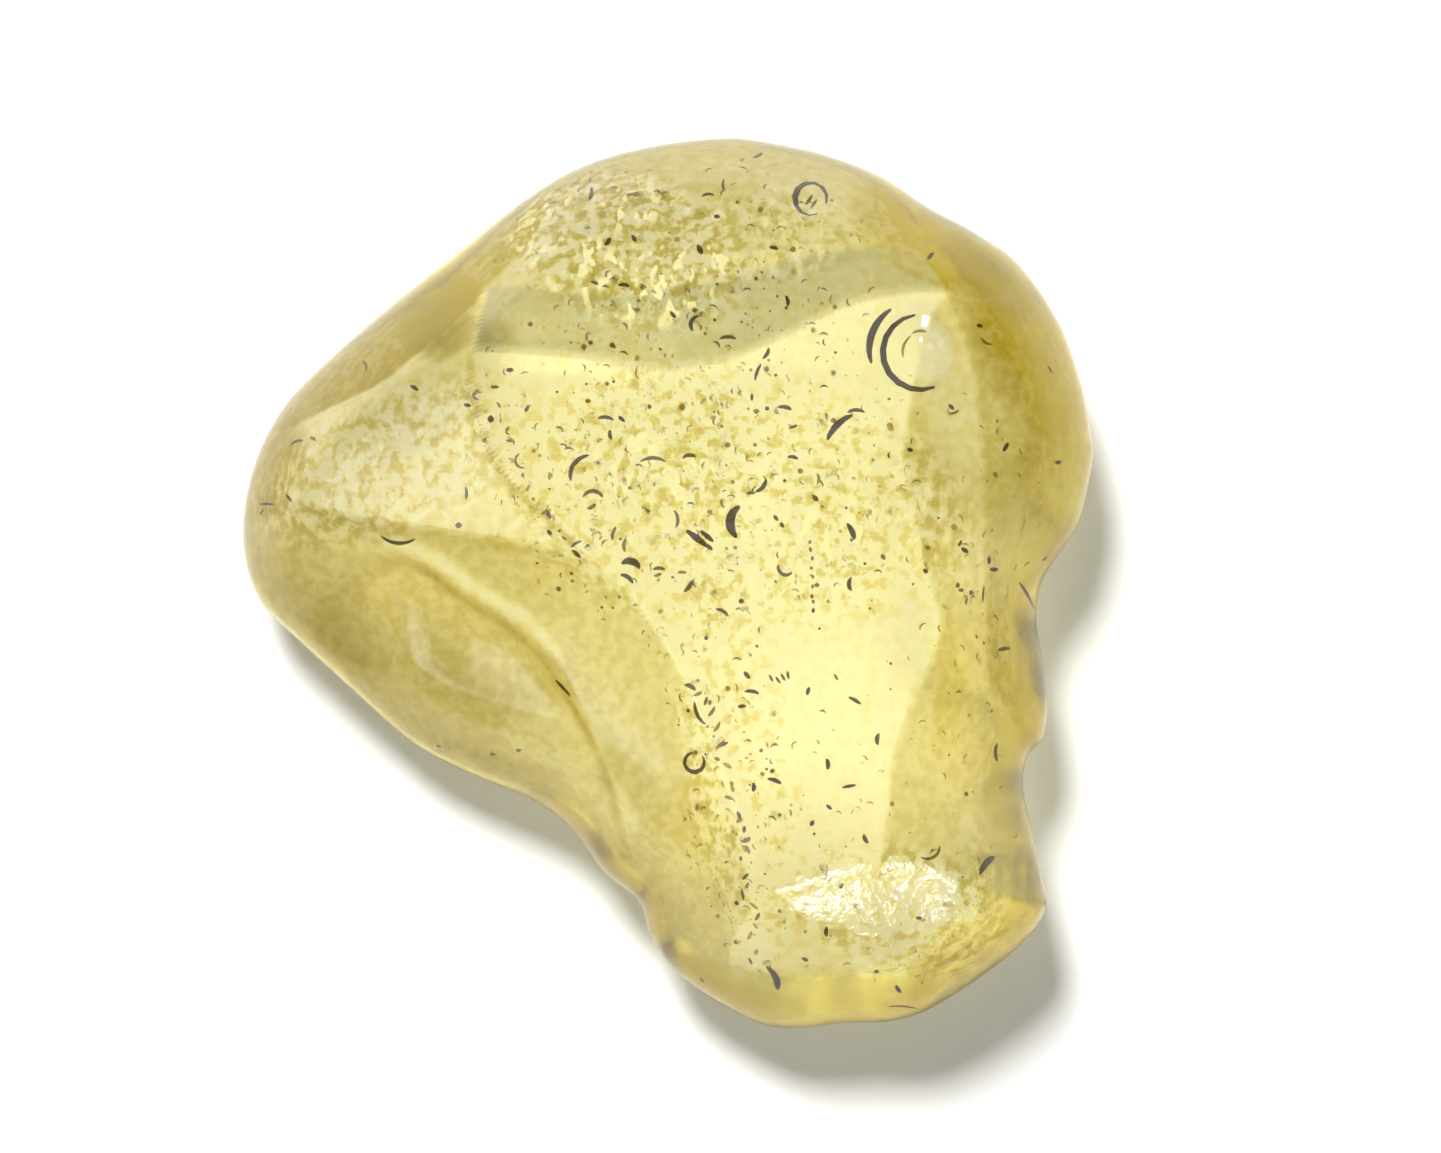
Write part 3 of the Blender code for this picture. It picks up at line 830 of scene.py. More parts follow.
CENTRE_STROKES: tuple[Stroke, ...] = (
    Stroke((574, 464), 36, 145, 100, 4.5, 0.9),
    Stroke((653, 458), 27, 90, 65, 3.5, 0.7),
    Stroke((689, 455), 15, 95, 100, 3.5, 0.85),
    Stroke((593, 491), 24, 90, 130, 4, 0.75),
    Stroke((592, 507), 10, -60, 60, 3.5, 0.7),
    Stroke((632, 561), 22, 75, 120, 6.5, 1.0),
    Stroke((628, 577), 16, 55, 70, 4, 0.85),
    Stroke((730, 521), 36, 175, 110, 8.5, 1.0),
    Stroke((697, 538), 26, 53, 8, 6, 1.0),
    Stroke((707, 536), 17, 50, 5, 4.5, 1.0),
    Stroke((709, 547), 9, 50, 5, 4, 0.9),
    Stroke((763, 487), 18, -40, 80, 4, 0.95),
    Stroke((751, 493), 9, -90, 20, 3, 0.7),
    Stroke((678, 519), 19, 5, 80, 3, 0.7),
    Stroke((613, 533), 14, 165, 50, 3.5, 0.7),
    Stroke((624, 545), 14, 175, 60, 3.5, 0.65),
    Stroke((659, 568), 12, 90, 60, 3.5, 0.75),
    Stroke((658, 575), 8, -70, 30, 3, 0.6),
    Stroke((689, 587), 14, -35, 50, 4, 0.75),
    Stroke((682, 572), 9, 90, 60, 3, 0.6),
    Stroke((723, 611), 15, 60, 60, 3.5, 0.8),
    Stroke((577, 553), 11, 50, 30, 4, 0.85),
    Stroke((576, 543), 12, 120, 40, 3, 0.7),
    Stroke((782, 574), 22, 240, 160, 3.5, 0.75),
    Stroke((747, 675), 9, 40, 10, 4, 0.8),
    Stroke((752, 691), 15, 80, 50, 3.5, 0.85),
    Stroke((742, 706), 8, 95, 10, 3.5, 0.9),
    Stroke((771, 678), 8, 30, 5, 2.5, 0.7),
    Stroke((778, 680), 8, 35, 5, 2.5, 0.7),
    Stroke((783, 677), 8, 30, 5, 2.5, 0.7),
    Stroke((788, 675), 8, 10, 5, 2.5, 0.7),
    Stroke((691, 686), 12, 60, 60, 4, 0.8),
    Stroke((698, 714), 26, 205, 50, 3.5, 0.8),
    Stroke((706, 701), 9, -20, 10, 3, 0.7),
    Stroke((785, 407), 14, 80, 60, 4, 0.8),
    Stroke((793, 427), 9, -70, 20, 3, 0.8),
    Stroke((793, 457), 11, 80, 60, 3.5, 0.85),
    Stroke((819, 479), 12, 0, 90, 2.5, 0.5),
    Stroke((815, 498), 8, 45, 5, 4, 0.8),
    Stroke((776, 518), 7, 40, 5, 3.5, 0.8),
    Stroke((782, 525), 6, 40, 5, 3.5, 0.8),
    Stroke((606, 417), 17, 85, 70, 3.5, 0.85),
    Stroke((622, 419), 8, 50, 10, 3.5, 0.9),
    Stroke((610, 435), 10, 190, 50, 3.5, 0.8),
    Stroke((588, 401), 5, 90, 0, 3.5, 0.7),
    Stroke((527, 409), 7, -25, 5, 3.5, 0.8),
    Stroke((491, 419), 6, 0, 0, 5.5, 0.9),
    Stroke((510, 370), 7, 90, 10, 4, 0.85),
    Stroke((516, 463), 22, 200, 170, 2.5, 0.7),
    Stroke((549, 514), 10, 30, 40, 3.5, 0.75),
    Stroke((550, 532), 6, 40, 5, 4, 0.8),
    Stroke((752, 397), 7, 0, 5, 3, 0.8),
    Stroke((757, 372), 18, 160, 30, 3, 0.85),
    Stroke((767, 354), 13, -30, 60, 3.5, 0.85),
    Stroke((728, 337), 17, 90, 60, 3.5, 0.7),
)

FAR_STROKES: tuple[Stroke, ...] = (
    Stroke((798, 190), 88, 140, 310, 5.5, 1.0),
    Stroke((809, 201), 12, -35, 5, 3.5, 0.6),
    Stroke((814, 205), 11, -35, 5, 2.5, 0.45),
    Stroke((592, 195), 14, -10, 40, 4.5, 1.0),
    Stroke((608, 242), 9, -35, 5, 4.5, 0.95),
    Stroke((634, 239), 7, 30, 5, 4, 0.95),
    Stroke((700, 250), 10, 28, 5, 5, 1.0),
    Stroke((708, 195), 13, 95, 70, 3, 0.75),
    Stroke((723, 186), 12, 180, 50, 2.5, 0.6),
    Stroke((717, 217), 6, 80, 5, 4, 0.9),
    Stroke((758, 157), 11, -60, 30, 4, 0.9),
    Stroke((673, 315), 9, 40, 10, 3.5, 0.9),
    Stroke((691, 322), 20, 160, 130, 4, 0.8),
    Stroke((624, 285), 12, 85, 50, 3.5, 0.8),
    Stroke((595, 283), 8, 70, 50, 3.5, 0.7),
    Stroke((632, 195), 10, 90, 90, 3, 0.55),
    Stroke((788, 301), 11, 10, 60, 3.5, 0.9),
    Stroke((774, 248), 9, 75, 40, 3.5, 0.85),
    Stroke((930, 257), 9, 140, 5, 3.5, 0.9),
    Stroke((872, 333), 62, 160, 75, 6.5, 1.0),
    Stroke((883, 362), 130, 195, 195, 6.5, 1.0),
    Stroke((903, 345), 26, 160, 70, 3, 0.4),
    Stroke((919, 330), 16, 95, 60, 3, 0.5),
    Stroke((979, 326), 6, 75, 5, 3.5, 0.8),
    Stroke((985, 343), 14, -120, 70, 2.5, 0.5),
    Stroke((951, 407), 7, 45, 5, 3.5, 0.9),
    Stroke((954, 413), 11, -70, 70, 2.5, 0.6),
    Stroke((1049, 370), 7, 30, 10, 3.5, 0.75),
)

RIGHT_STROKES: tuple[Stroke, ...] = (
    Stroke((837, 425), 36, 135, 50, 6, 1.0),
    Stroke((856, 410), 18, 90, 60, 3.5, 0.85),
    Stroke((852, 531), 18, 25, 35, 5, 0.95),
    Stroke((849, 584), 14, 180, 80, 4, 0.9),
    Stroke((988, 560), 8, 0, 5, 4.5, 1.0),
    Stroke((993, 569), 8, 90, 5, 4, 1.0),
    Stroke((959, 543), 7, 150, 5, 3, 0.9),
    Stroke((964, 550), 8, 60, 5, 4, 0.9),
    Stroke((1026, 594), 28, 30, 10, 4, 1.0),
    Stroke((1003, 649), 13, 98, 15, 3.5, 1.0),
    Stroke((982, 594), 17, 175, 15, 3, 0.8),
    Stroke((960, 590), 5, 90, 5, 3.5, 0.8),
    Stroke((965, 601), 8, 170, 30, 3, 0.7),
    Stroke((1044, 558), 6, -50, 5, 4, 0.85),
    Stroke((1057, 462), 6, 100, 5, 4, 0.9),
    Stroke((1005, 447), 10, 150, 10, 4, 1.0),
    Stroke((910, 450), 6, 70, 5, 3.5, 0.85),
    Stroke((883, 557), 6, 40, 5, 4, 0.75),
    Stroke((925, 571), 5, 60, 5, 4, 0.85),
    Stroke((855, 700), 14, 60, 20, 3.5, 0.85),
    Stroke((877, 739), 12, 175, 60, 4, 0.85),
    Stroke((808, 691), 8, 165, 5, 3.5, 0.85),
    Stroke((836, 677), 7, 30, 5, 2.5, 0.6),
    Stroke((994, 752), 19, 180, 60, 5, 1.0),
)

NEAR_STROKES: tuple[Stroke, ...] = (
    Stroke((692, 771), 52, 250, 300, 4.5, 0.85),
    Stroke((984, 864), 24, 140, 60, 6.5, 1.0),
    Stroke((776, 975), 27, 25, 70, 7, 1.0),
    Stroke((898, 988), 9, 215, 15, 4, 0.95),
    Stroke((903, 1005), 29, 85, 30, 3, 0.75),
    Stroke((703, 979), 6, 40, 10, 4, 0.7),
    Stroke((828, 764), 11, 5, 50, 4, 0.95),
    Stroke((775, 780), 15, 70, 50, 4, 0.95),
    Stroke((754, 787), 9, 0, 60, 4, 0.9),
    Stroke((849, 786), 14, 100, 5, 3, 0.85),
    Stroke((829, 807), 7, 50, 5, 3, 0.8),
    Stroke((812, 823), 6, 150, 10, 4, 0.85),
    Stroke((865, 839), 10, 205, 40, 4, 0.85),
    Stroke((933, 857), 26, -60, 120, 3, 0.6),
    Stroke((920, 918), 9, 75, 30, 3.5, 0.9),
    Stroke((826, 931), 10, 180, 30, 4, 0.85),
    Stroke((855, 905), 6, 60, 5, 4, 0.8),
    Stroke((841, 885), 6, 150, 5, 3.5, 0.8),
    Stroke((805, 958), 7, 60, 40, 4, 0.8),
)

LEFT_STROKES: tuple[Stroke, ...] = (
    Stroke((398, 542), 36, -95, 70, 4, 0.95),
    Stroke((297, 442), 14, 110, 60, 3.5, 0.9),
    Stroke((314, 439), 7, 60, 40, 3, 0.6),
    Stroke((367, 366), 12, 20, 70, 3, 0.6),
    Stroke((415, 388), 9, 60, 30, 3.5, 0.85),
    Stroke((268, 504), 14, 88, 10, 2.5, 0.95),
    Stroke((263, 512), 7, 150, 5, 3, 0.9),
    Stroke((290, 498), 9, 40, 5, 3, 0.95),
    Stroke((467, 493), 13, 0, 40, 3, 0.8),
    Stroke((459, 525), 6, 90, 5, 5.5, 0.8),
    Stroke((474, 395), 16, 180, 200, 3, 0.6),
    Stroke((468, 405), 7, 80, 5, 3.5, 0.95),
    Stroke((495, 387), 8, 90, 10, 3, 0.8),
    Stroke((564, 687), 22, 43, 12, 3.5, 0.85),
    Stroke((439, 745), 5, 90, 5, 4, 0.7),
    Stroke((493, 753), 5, 90, 5, 4, 0.7),
    Stroke((519, 749), 5, 90, 5, 4, 0.7),
)


@dataclass(frozen=True)
class DashedLine:
    """A row of small bubbles along a line of the photograph, given by points in its pixels."""

    line_px: tuple[Point, ...]
    count: int
    length_px: Point
    off_line_px: float
    spread_deg: float
    width_px: float
    dark: Point
    seed: int
    uneven: float = 0.3
    bend_deg: float = 30.0

    def strokes(self) -> list[Stroke]:
        """Lays the row out.

        Returns:
            Its strokes, each a little off the line and turned its own way.
        """
        rng = np.random.default_rng(self.seed)
        line = smooth_line(self.line_px, closed=False)
        reach = np.concatenate([[0], np.cumsum(np.hypot(*np.diff(line, axis=0).T))])
        row = []
        for k in range(self.count):
            at = reach[-1] * (k + 0.5 + rng.uniform(-self.uneven, self.uneven)) / self.count
            on_line = [np.interp(at, reach, line[:, axis]) for axis in (0, 1)]
            middle = tuple(place + rng.normal() * self.off_line_px for place in on_line)
            length = rng.uniform(*self.length_px)
            facing = rng.uniform(-self.spread_deg, self.spread_deg)
            dark = rng.uniform(*self.dark)
            row.append(Stroke(middle, length, facing, self.bend_deg, self.width_px, dark))
        return row


DASHED_LINES: tuple[DashedLine, ...] = (
    DashedLine(
        line_px=((705, 690), (722, 740), (735, 800), (745, 860), (752, 920), (748, 965)),
        count=26,
        length_px=(4, 12),
        off_line_px=3.0,
        spread_deg=80,
        width_px=3.2,
        dark=(0.3, 0.85),
        seed=3,
    ),
    DashedLine(
        line_px=((810.5, 536), (812, 575), (813.5, 617)),
        count=9,
        length_px=(3, 5),
        off_line_px=0.6,
        spread_deg=30,
        width_px=3.0,
        dark=(0.5, 0.8),
        seed=5,
    ),
    DashedLine(
        line_px=((497, 400), (505, 440), (530, 490), (560, 530), (576, 556)),
        count=14,
        length_px=(3, 8),
        off_line_px=2.5,
        spread_deg=80,
        width_px=2.6,
        dark=(0.2, 0.6),
        seed=9,
    ),
)


class Graph:
    """A node tree that is being built, with short calls that add nodes and feed their sockets."""

    def __init__(self, tree: bpy.types.NodeTree) -> None:
        """Takes the tree to build in."""
        self.tree = tree

    def add(self, kind: str, feeds: Feeds | None = None, **settings: Value) -> bpy.types.Node:
        """Adds a node.

        Args:
            kind: the node's type.
            feeds: what each of its inputs gets, by name or by place.
            **settings: the node's own settings.

        Returns:
            The new node.
        """
        node = self.tree.nodes.new(kind)
        for name, value in settings.items():
            setattr(node, name, value)
        for key, value in (feeds or {}).items():
            self.feed(node.inputs[key], value)
        return node

    def feed(self, socket: bpy.types.NodeSocket, value: Value) -> None:
        """Links a socket to another one, or sets its value.

        Args:
            socket: the input socket.
            value: the socket that it is linked to, or its value.
        """
        if isinstance(value, bpy.types.NodeSocket):
            self.tree.links.new(value, socket)
        else:
            socket.default_value = value

    def math(self, operation: str, *values: Value) -> bpy.types.NodeSocket:
        """The result of a sum on one, two or three values."""
        node = self.add("ShaderNodeMath", dict(enumerate(values)), operation=operation)
        return node.outputs[0]

    def scaled(self, vector: Value, share: Value) -> bpy.types.NodeSocket:
        """A vector or a colour, made smaller or larger."""
        return self.add("ShaderNodeVectorMath", {0: vector, 3: share}, operation="SCALE").outputs[0]

    def ramp(self, value: Value, low: float, high: float, to: Point = (0.0, 1.0)) -> bpy.types.NodeSocket:
        """A value moved softly from one range to another."""
        feeds = {"Value": value, "From Min": low, "From Max": high, "To Min": to[0], "To Max": to[1]}
        return self.add("ShaderNodeMapRange", feeds, interpolation_type="SMOOTHSTEP").outputs[0]

    def noise(self, place: Value, per_m: Value, detail: float) -> bpy.types.NodeSocket:
        """Cloudy noise from 0 to 1, with so many lumps in a metre."""
        node = self.add("ShaderNodeTexNoise", {"Vector": place, "Scale": per_m, "Detail": detail})
        return node.outputs[0]

    def cells(self, place: Value, per_m: Value, smoothness: float = 0.4) -> bpy.types.NodeSocket:
        """The distance to the middle of the nearest of many cells, with so many cells in a metre."""
        feeds = {"Vector": place, "Scale": per_m, "Smoothness": smoothness}
        return self.add("ShaderNodeTexVoronoi", feeds, feature="SMOOTH_F1").outputs[0]

    def random(self, low: Value, high: Value, seed: int) -> bpy.types.NodeSocket:
        """A random number for each element."""
        node = self.add("FunctionNodeRandomValue", {2: low, 3: high, 8: seed}, data_type="FLOAT")
        return node.outputs[1]

    def trait(self, trait: Trait) -> bpy.types.NodeSocket:
        """How strong one of the mesh's traits is, in a geometry tree."""
        feeds = {"Name": trait.value}
        return self.add("GeometryNodeInputNamedAttribute", feeds, data_type="FLOAT").outputs[0]

    def shown(self, trait: Trait) -> bpy.types.NodeSocket:
        """How strong one of the mesh's traits is, in a material."""
        return self.add("ShaderNodeAttribute", attribute_name=trait.value).outputs["Fac"]

    def mix(self, share: Value, first: Value, second: Colour) -> bpy.types.NodeSocket:
        """Two colours mixed by a share.

        Args:
            share: how much there is of the second colour.
            first: the first colour, or the socket that gives it.
            second: the second colour.

        Returns:
            The mixed colour.
        """
        mix = self.add("ShaderNodeMix", {0: share, 7: (*second, 1)}, data_type="RGBA")
        self.feed(mix.inputs[6], (*first, 1) if isinstance(first, tuple) else first)
        return mix.outputs[2]


def keep(mesh: bpy.types.Mesh, trait: Trait, values: np.ndarray) -> None:
    """Keeps a trait at each corner of a mesh."""
    mesh.attributes.new(trait.value, "FLOAT", "POINT").data.foreach_set("value", values)


class GeometryTree:
    """A Geometry Nodes tree with named inputs, which is run once on a mesh."""

    KINDS = {float: "NodeSocketFloat", int: "NodeSocketInt", bpy.types.Material: "NodeSocketMaterial"}

    def __init__(self, name: str, sizes: dict[str, float | int | bpy.types.Material]) -> None:
        """Makes the tree and its inputs.

        Args:
            name: the tree's name.
            sizes: the value of each named input.
        """
        self.sizes = sizes
        self.tree = bpy.data.node_groups.new(name, "GeometryNodeTree")
        sockets = self.tree.interface
        sockets.new_socket("Geometry", in_out="INPUT", socket_type="NodeSocketGeometry")
        sockets.new_socket("Geometry", in_out="OUTPUT", socket_type="NodeSocketGeometry")
        for label, value in sizes.items():
            sockets.new_socket(label, in_out="INPUT", socket_type=self.KINDS[type(value)])
        self.graph = Graph(self.tree)
        self.start = self.graph.add("NodeGroupInput")
        self.end = self.graph.add("NodeGroupOutput")

    def given(self, label: str) -> bpy.types.NodeSocket:
        """The socket of a named input."""
        return self.start.outputs[label]

    def finish(self, geometry: bpy.types.NodeSocket) -> None:
        """Ends the tree: the instances are made real, and the input named Material is set.

        Args:
            geometry: what the tree has built.
        """
        real = self.graph.add("GeometryNodeRealizeInstances", {"Geometry": geometry}).outputs[0]
        feeds = {"Geometry": real, "Material": self.given("Material")}
        dressed = self.graph.add("GeometryNodeSetMaterial", feeds).outputs[0]
        self.graph.feed(self.end.inputs["Geometry"], dressed)

    def run(self, mesh: bpy.types.Mesh) -> bpy.types.Mesh:
        """Runs the tree.

        Args:
            mesh: the mesh that it starts from.

        Returns:
            The resulting plain mesh.
        """
        carrier = bpy.data.objects.new(self.tree.name, mesh)
        bpy.context.scene.collection.objects.link(carrier)
        modifier = carrier.modifiers.new(self.tree.name, "NODES")
        modifier.node_group = self.tree
        for item in self.tree.interface.items_tree:
            if item.item_type == "SOCKET" and item.in_out == "INPUT" and item.name in self.sizes:
                modifier[item.identifier] = self.sizes[item.name]
        seen = carrier.evaluated_get(bpy.context.evaluated_depsgraph_get())
        result = bpy.data.meshes.new_from_object(seen)
        carrier.modifiers.remove(modifier)
        bpy.data.objects.remove(carrier)
        log.info("%s: %d faces", self.tree.name, len(result.polygons))
        return result


@dataclass(frozen=True)
class GlassFinish:
    """Wind-worn, pale yellow natural glass: see-through, finely frosted, and deeper in colour where thick.
    Its skin colour also holds painted shade and painted light.
    """

    ior: float = 1.46
    see_through: float = 0.95
    absorbed_colour: Colour = (0.985, 0.955, 0.1)
    absorption_per_m: float = 30.0
    mirror_level: float = 0.3
    polished: float = 0.16
    frosted: float = 0.28
    frosted_at: float = 0.7
    bubble_polish: float = 0.85
    bubble_polished_at: float = 0.3
    grain_per_m: float = 2200.0
    grain_detail: float = 3.0
    grain_depth_mm: float = 0.12
    least_grain: float = 0.1
    pale: Colour = (1.0, 1.0, 1.0)
    straw: Colour = (0.88, 0.78, 0.45)
    straw_at: float = 0.25
    honey: Colour = (0.64, 0.52, 0.16)
    honey_at: float = 0.5
    ochre_and_shade: Colour = (0.3, 0.2, 0.004)
    neutral_shade_loss: float = 0.8
    # Painted light and shade on the grain: the colour goes paler and deeper with the grain, most where
    # etched.
    grain_shading: float = 0.42
    faint_grain_shading: float = 0.09
    grain_shading_between: Point = (0.35, 0.65)
    # Pale flecks where etched: partly etched marks, partly painted glints.
    flecks_and_glints_per_m: float = 2300.0
    flecks_and_glints_between: Point = (0.54, 0.6)
    fleck_and_glint_stretch: Colour = (1.0, 0.5, 1.0)
    fleck_and_glint_turn_deg: float = 25.0
    fleck_and_glint_groups_per_m: float = 420.0
    fleck_and_glint_groups_between: Point = (0.42, 0.55)
    # Painted shade on the bubbles: their dark rims, which come from bent light, are painted as dark colour
    # and a dark reflection.
    fully_shaded: float = 0.75
    bubble_shade: Colour = (0.07, 0.045, 0.004)
    shaded_bubble_mirror: Colour = (0.12, 0.09, 0.02)
    edge_mirror: Colour = (0.75, 0.58, 0.2)
    edge_between: Point = (0.5, 0.9)

    def material(self) -> bpy.types.Material:
        """Builds the glass.

        Returns:
            The material, which reads the traits of the mesh.
        """
        material = bpy.data.materials.new("desert_glass_worn")
        material.use_nodes = True
        nodes = material.node_tree.nodes
        graph = Graph(material.node_tree)
        place = graph.add("ShaderNodeTexCoord").outputs["Object"]
        etched = graph.shown(Trait.ETCHED)
        grain = graph.noise(place, self.grain_per_m, self.grain_detail)
        bubble_shading = graph.ramp(graph.shown(Trait.BUBBLE_SHADE), 0, self.fully_shaded)
        looks = {
            # Painted shade: the bubbles' colour is darkened toward bubble_shade.
            "Base Color": graph.mix(bubble_shading, self.skin_colour(graph, place, etched, grain), self.bubble_shade),
            "Roughness": self.roughness(graph, etched, grain),
            "Specular Tint": self.mirrored(graph, bubble_shading),
            "Normal": self.bump(graph, etched, grain),
            "Specular IOR Level": self.mirror_level,
            "Metallic": 0.0,
            "IOR": self.ior,
            "Transmission Weight": self.see_through,
        }
        for name, value in looks.items():
            graph.feed(nodes["Principled BSDF"].inputs[name], value)
        feeds = {"Color": (*self.absorbed_colour, 1), "Density": self.absorption_per_m}
        absorb = graph.add("ShaderNodeVolumeAbsorption", feeds).outputs[0]
        graph.feed(nodes["Material Output"].inputs["Volume"], absorb)
        return material

    def roughness(self, graph: Graph, etched: Value, grain: Value) -> bpy.types.NodeSocket:
        """How rough the glass is: frosted where it is etched, and polished in the bubbles.

        Args:
            graph: the material's tree.
            etched: how etched the skin is.
            grain: fine cloudy noise.

        Returns:
            The roughness.
        """
        frost = graph.math("MULTIPLY", etched, grain)
        rough = graph.ramp(frost, 0, self.frosted_at, (self.polished, self.frosted))
        bubble = graph.shown(Trait.BUBBLE_SHADE)
        kept_rough = graph.ramp(bubble, 0, self.bubble_polished_at, (1, 1 - self.bubble_polish))
        return graph.math("MULTIPLY", rough, kept_rough)

    def bump(self, graph: Graph, etched: Value, grain: Value) -> bpy.types.NodeSocket:
        """The normal that the grain gives the skin, stronger where it is etched.

        Args:
            graph: the material's tree.
            etched: how etched the skin is.
            grain: fine cloudy noise.

        Returns:
            The normal.
        """
        share = graph.math("MULTIPLY_ADD", etched, 1 - self.least_grain, self.least_grain)
        height = graph.math("MULTIPLY", grain, share)
        feeds = {"Strength": 1.0, "Distance": self.grain_depth_mm * MM, "Height": height}
        return graph.add("ShaderNodeBump", feeds).outputs[0]

    def mirrored(self, graph: Graph, bubble_shading: Value) -> bpy.types.NodeSocket:
        """The tint of what the glass mirrors: ochre on the thick edge, and dark on the bubbles as painted
        shade.

        Args:
            graph: the material's tree.
            bubble_shading: how much painted shade the bubbles have there.

        Returns:
            The tint.
        """
        edge = graph.ramp(graph.shown(Trait.OCHRE_AND_SHADE), *self.edge_between)
        return graph.mix(bubble_shading, graph.mix(edge, (1.0, 1.0, 1.0), self.edge_mirror), self.shaded_bubble_mirror)

    def skin_colour(self, graph: Graph, place: Value, etched: Value, grain: Value) -> bpy.types.NodeSocket:
        """The colour of the skin.

        Args:
            graph: the material's tree.
            place: the place on the piece.
            etched: how etched the skin is.
            grain: fine cloudy noise.

        Returns:
            The colour: white where the glass is palest, deeper by its traits and their painted shade, with
                painted light and shade on the grain and pale flecks with painted glints where etched.
        """
        # Painted light and shade on the grain, so that the worn relief reads lit and shaded.
        grain_shading_share = graph.math("MULTIPLY_ADD", etched, self.grain_shading, self.faint_grain_shading)
        uneven = graph.math("MULTIPLY", graph.ramp(grain, *self.grain_shading_between, (-1, 1)), grain_shading_share)
        whole = graph.math("SUBTRACT", 1.0, self.flecks_and_glints(graph, place, etched))
        ochre_and_shade = graph.math("MULTIPLY", graph.math("ADD", graph.shown(Trait.OCHRE_AND_SHADE), uneven), whole)
        ramp = graph.add("ShaderNodeValToRGB", {"Fac": ochre_and_shade})
        stops = ramp.color_ramp.elements
        stops[0].color = (*self.pale, 1)
        stops[1].color = (*self.ochre_and_shade, 1)
        stops.new(self.straw_at).color = (*self.straw, 1)
        stops.new(self.honey_at).color = (*self.honey, 1)
        # Neutral painted shade: the colour is darkened by the neutral_shade trait, except on the flecks.
        loss = graph.math("MULTIPLY", graph.shown(Trait.NEUTRAL_SHADE), self.neutral_shade_loss)
        left = graph.math("SUBTRACT", 1.0, graph.math("MULTIPLY", loss, whole))
        return graph.scaled(ramp.outputs["Color"], left)

    def flecks_and_glints(self, graph: Graph, place: Value, etched: Value) -> bpy.types.NodeSocket:
        """Small pale flecks, long along one direction, where the skin is etched: partly etched marks, partly
        painted glints.

        Args:
            graph: the material's tree.
            place: the place on the piece.
            etched: how etched the skin is.

        Returns:
            1 on a fleck and 0 beside it.
        """
        turn = (0, 0, math.radians(self.fleck_and_glint_turn_deg))
        feeds = {"Vector": place, "Rotation": turn, "Scale": self.fleck_and_glint_stretch}
        turned = graph.add("ShaderNodeMapping", feeds).outputs[0]
        flecks_and_glints = graph.ramp(graph.noise(turned, self.flecks_and_glints_per_m, 1), *self.flecks_and_glints_between)
        groups = graph.ramp(graph.noise(place, self.fleck_and_glint_groups_per_m, 1), *self.fleck_and_glint_groups_between)
        return graph.math("MULTIPLY", graph.math("MULTIPLY", flecks_and_glints, groups), etched)


@dataclass(frozen=True)
class ShadedBubbleWall:
    """The wall of a squeezed bubble, opaque and dark brown: painted shade for the dark rim that a bubble
    shows by bending light away.
    """

    faint: Colour = (0.5, 0.36, 0.06)
    dark: Colour = (0.05, 0.028, 0.001)
    dark_between: Point = (0.1, 1.0)
    roughness: float = 0.6
    sheen: float = 0.0

    def material(self) -> bpy.types.Material:
        """Builds the wall.

        Returns:
            The material, darker where the bubble has more painted shade.
        """
        material = bpy.data.materials.new("painted_shade_bubble_wall")
        material.use_nodes = True
        graph = Graph(material.node_tree)
        shader = material.node_tree.nodes["Principled BSDF"]
        share = graph.ramp(graph.shown(Trait.BUBBLE_SHADE), *self.dark_between)
        graph.feed(shader.inputs["Base Color"], graph.mix(share, self.faint, self.dark))
        shader.inputs["Roughness"].default_value = self.roughness
        shader.inputs["Specular IOR Level"].default_value = self.sheen
        return material


@dataclass(frozen=True)
class PhotoView:
    """Where the photograph was taken from, and what its pixels lie over."""

    aim_mm: tuple[float, float, float] = (2.14, 0.2, 4.2)
    elevation_deg: float = 85.5
    distance_mm: float = 260.0
    frame_px: Point = (1441.0, 1153.0)
    mm_per_px: float = 0.04

    def back(self) -> Vector:
        """The direction from the stone to the camera."""
        rise = math.radians(self.elevation_deg)
        return Vector((0, -math.cos(rise), math.sin(rise)))

    def over(self, px: np.ndarray, level_mm: np.ndarray) -> np.ndarray:
        """What some pixels lie over.

        Args:
            px: the pixels, one in each row.
            level_mm: the height of each place above the ground.

        Returns:
            The X and Y of each place, in millimetres.
        """
        rise = math.radians(self.elevation_deg)
        right = (px[:, 0] - self.frame_px[0] / 2) * self.mm_per_px
        up = (self.frame_px[1] / 2 - px[:, 1]) * self.mm_per_px
        away_y = self.distance_mm * math.cos(rise) + up * math.sin(rise)
        away_z = -self.distance_mm * math.sin(rise) + up * math.cos(rise)
        reach = (level_mm - self.aim_mm[2] - self.distance_mm * math.sin(rise)) / away_z
        x = self.aim_mm[0] + reach * right
        y = self.aim_mm[1] - self.distance_mm * math.cos(rise) + reach * away_y
        return np.stack([x, y], axis=-1)


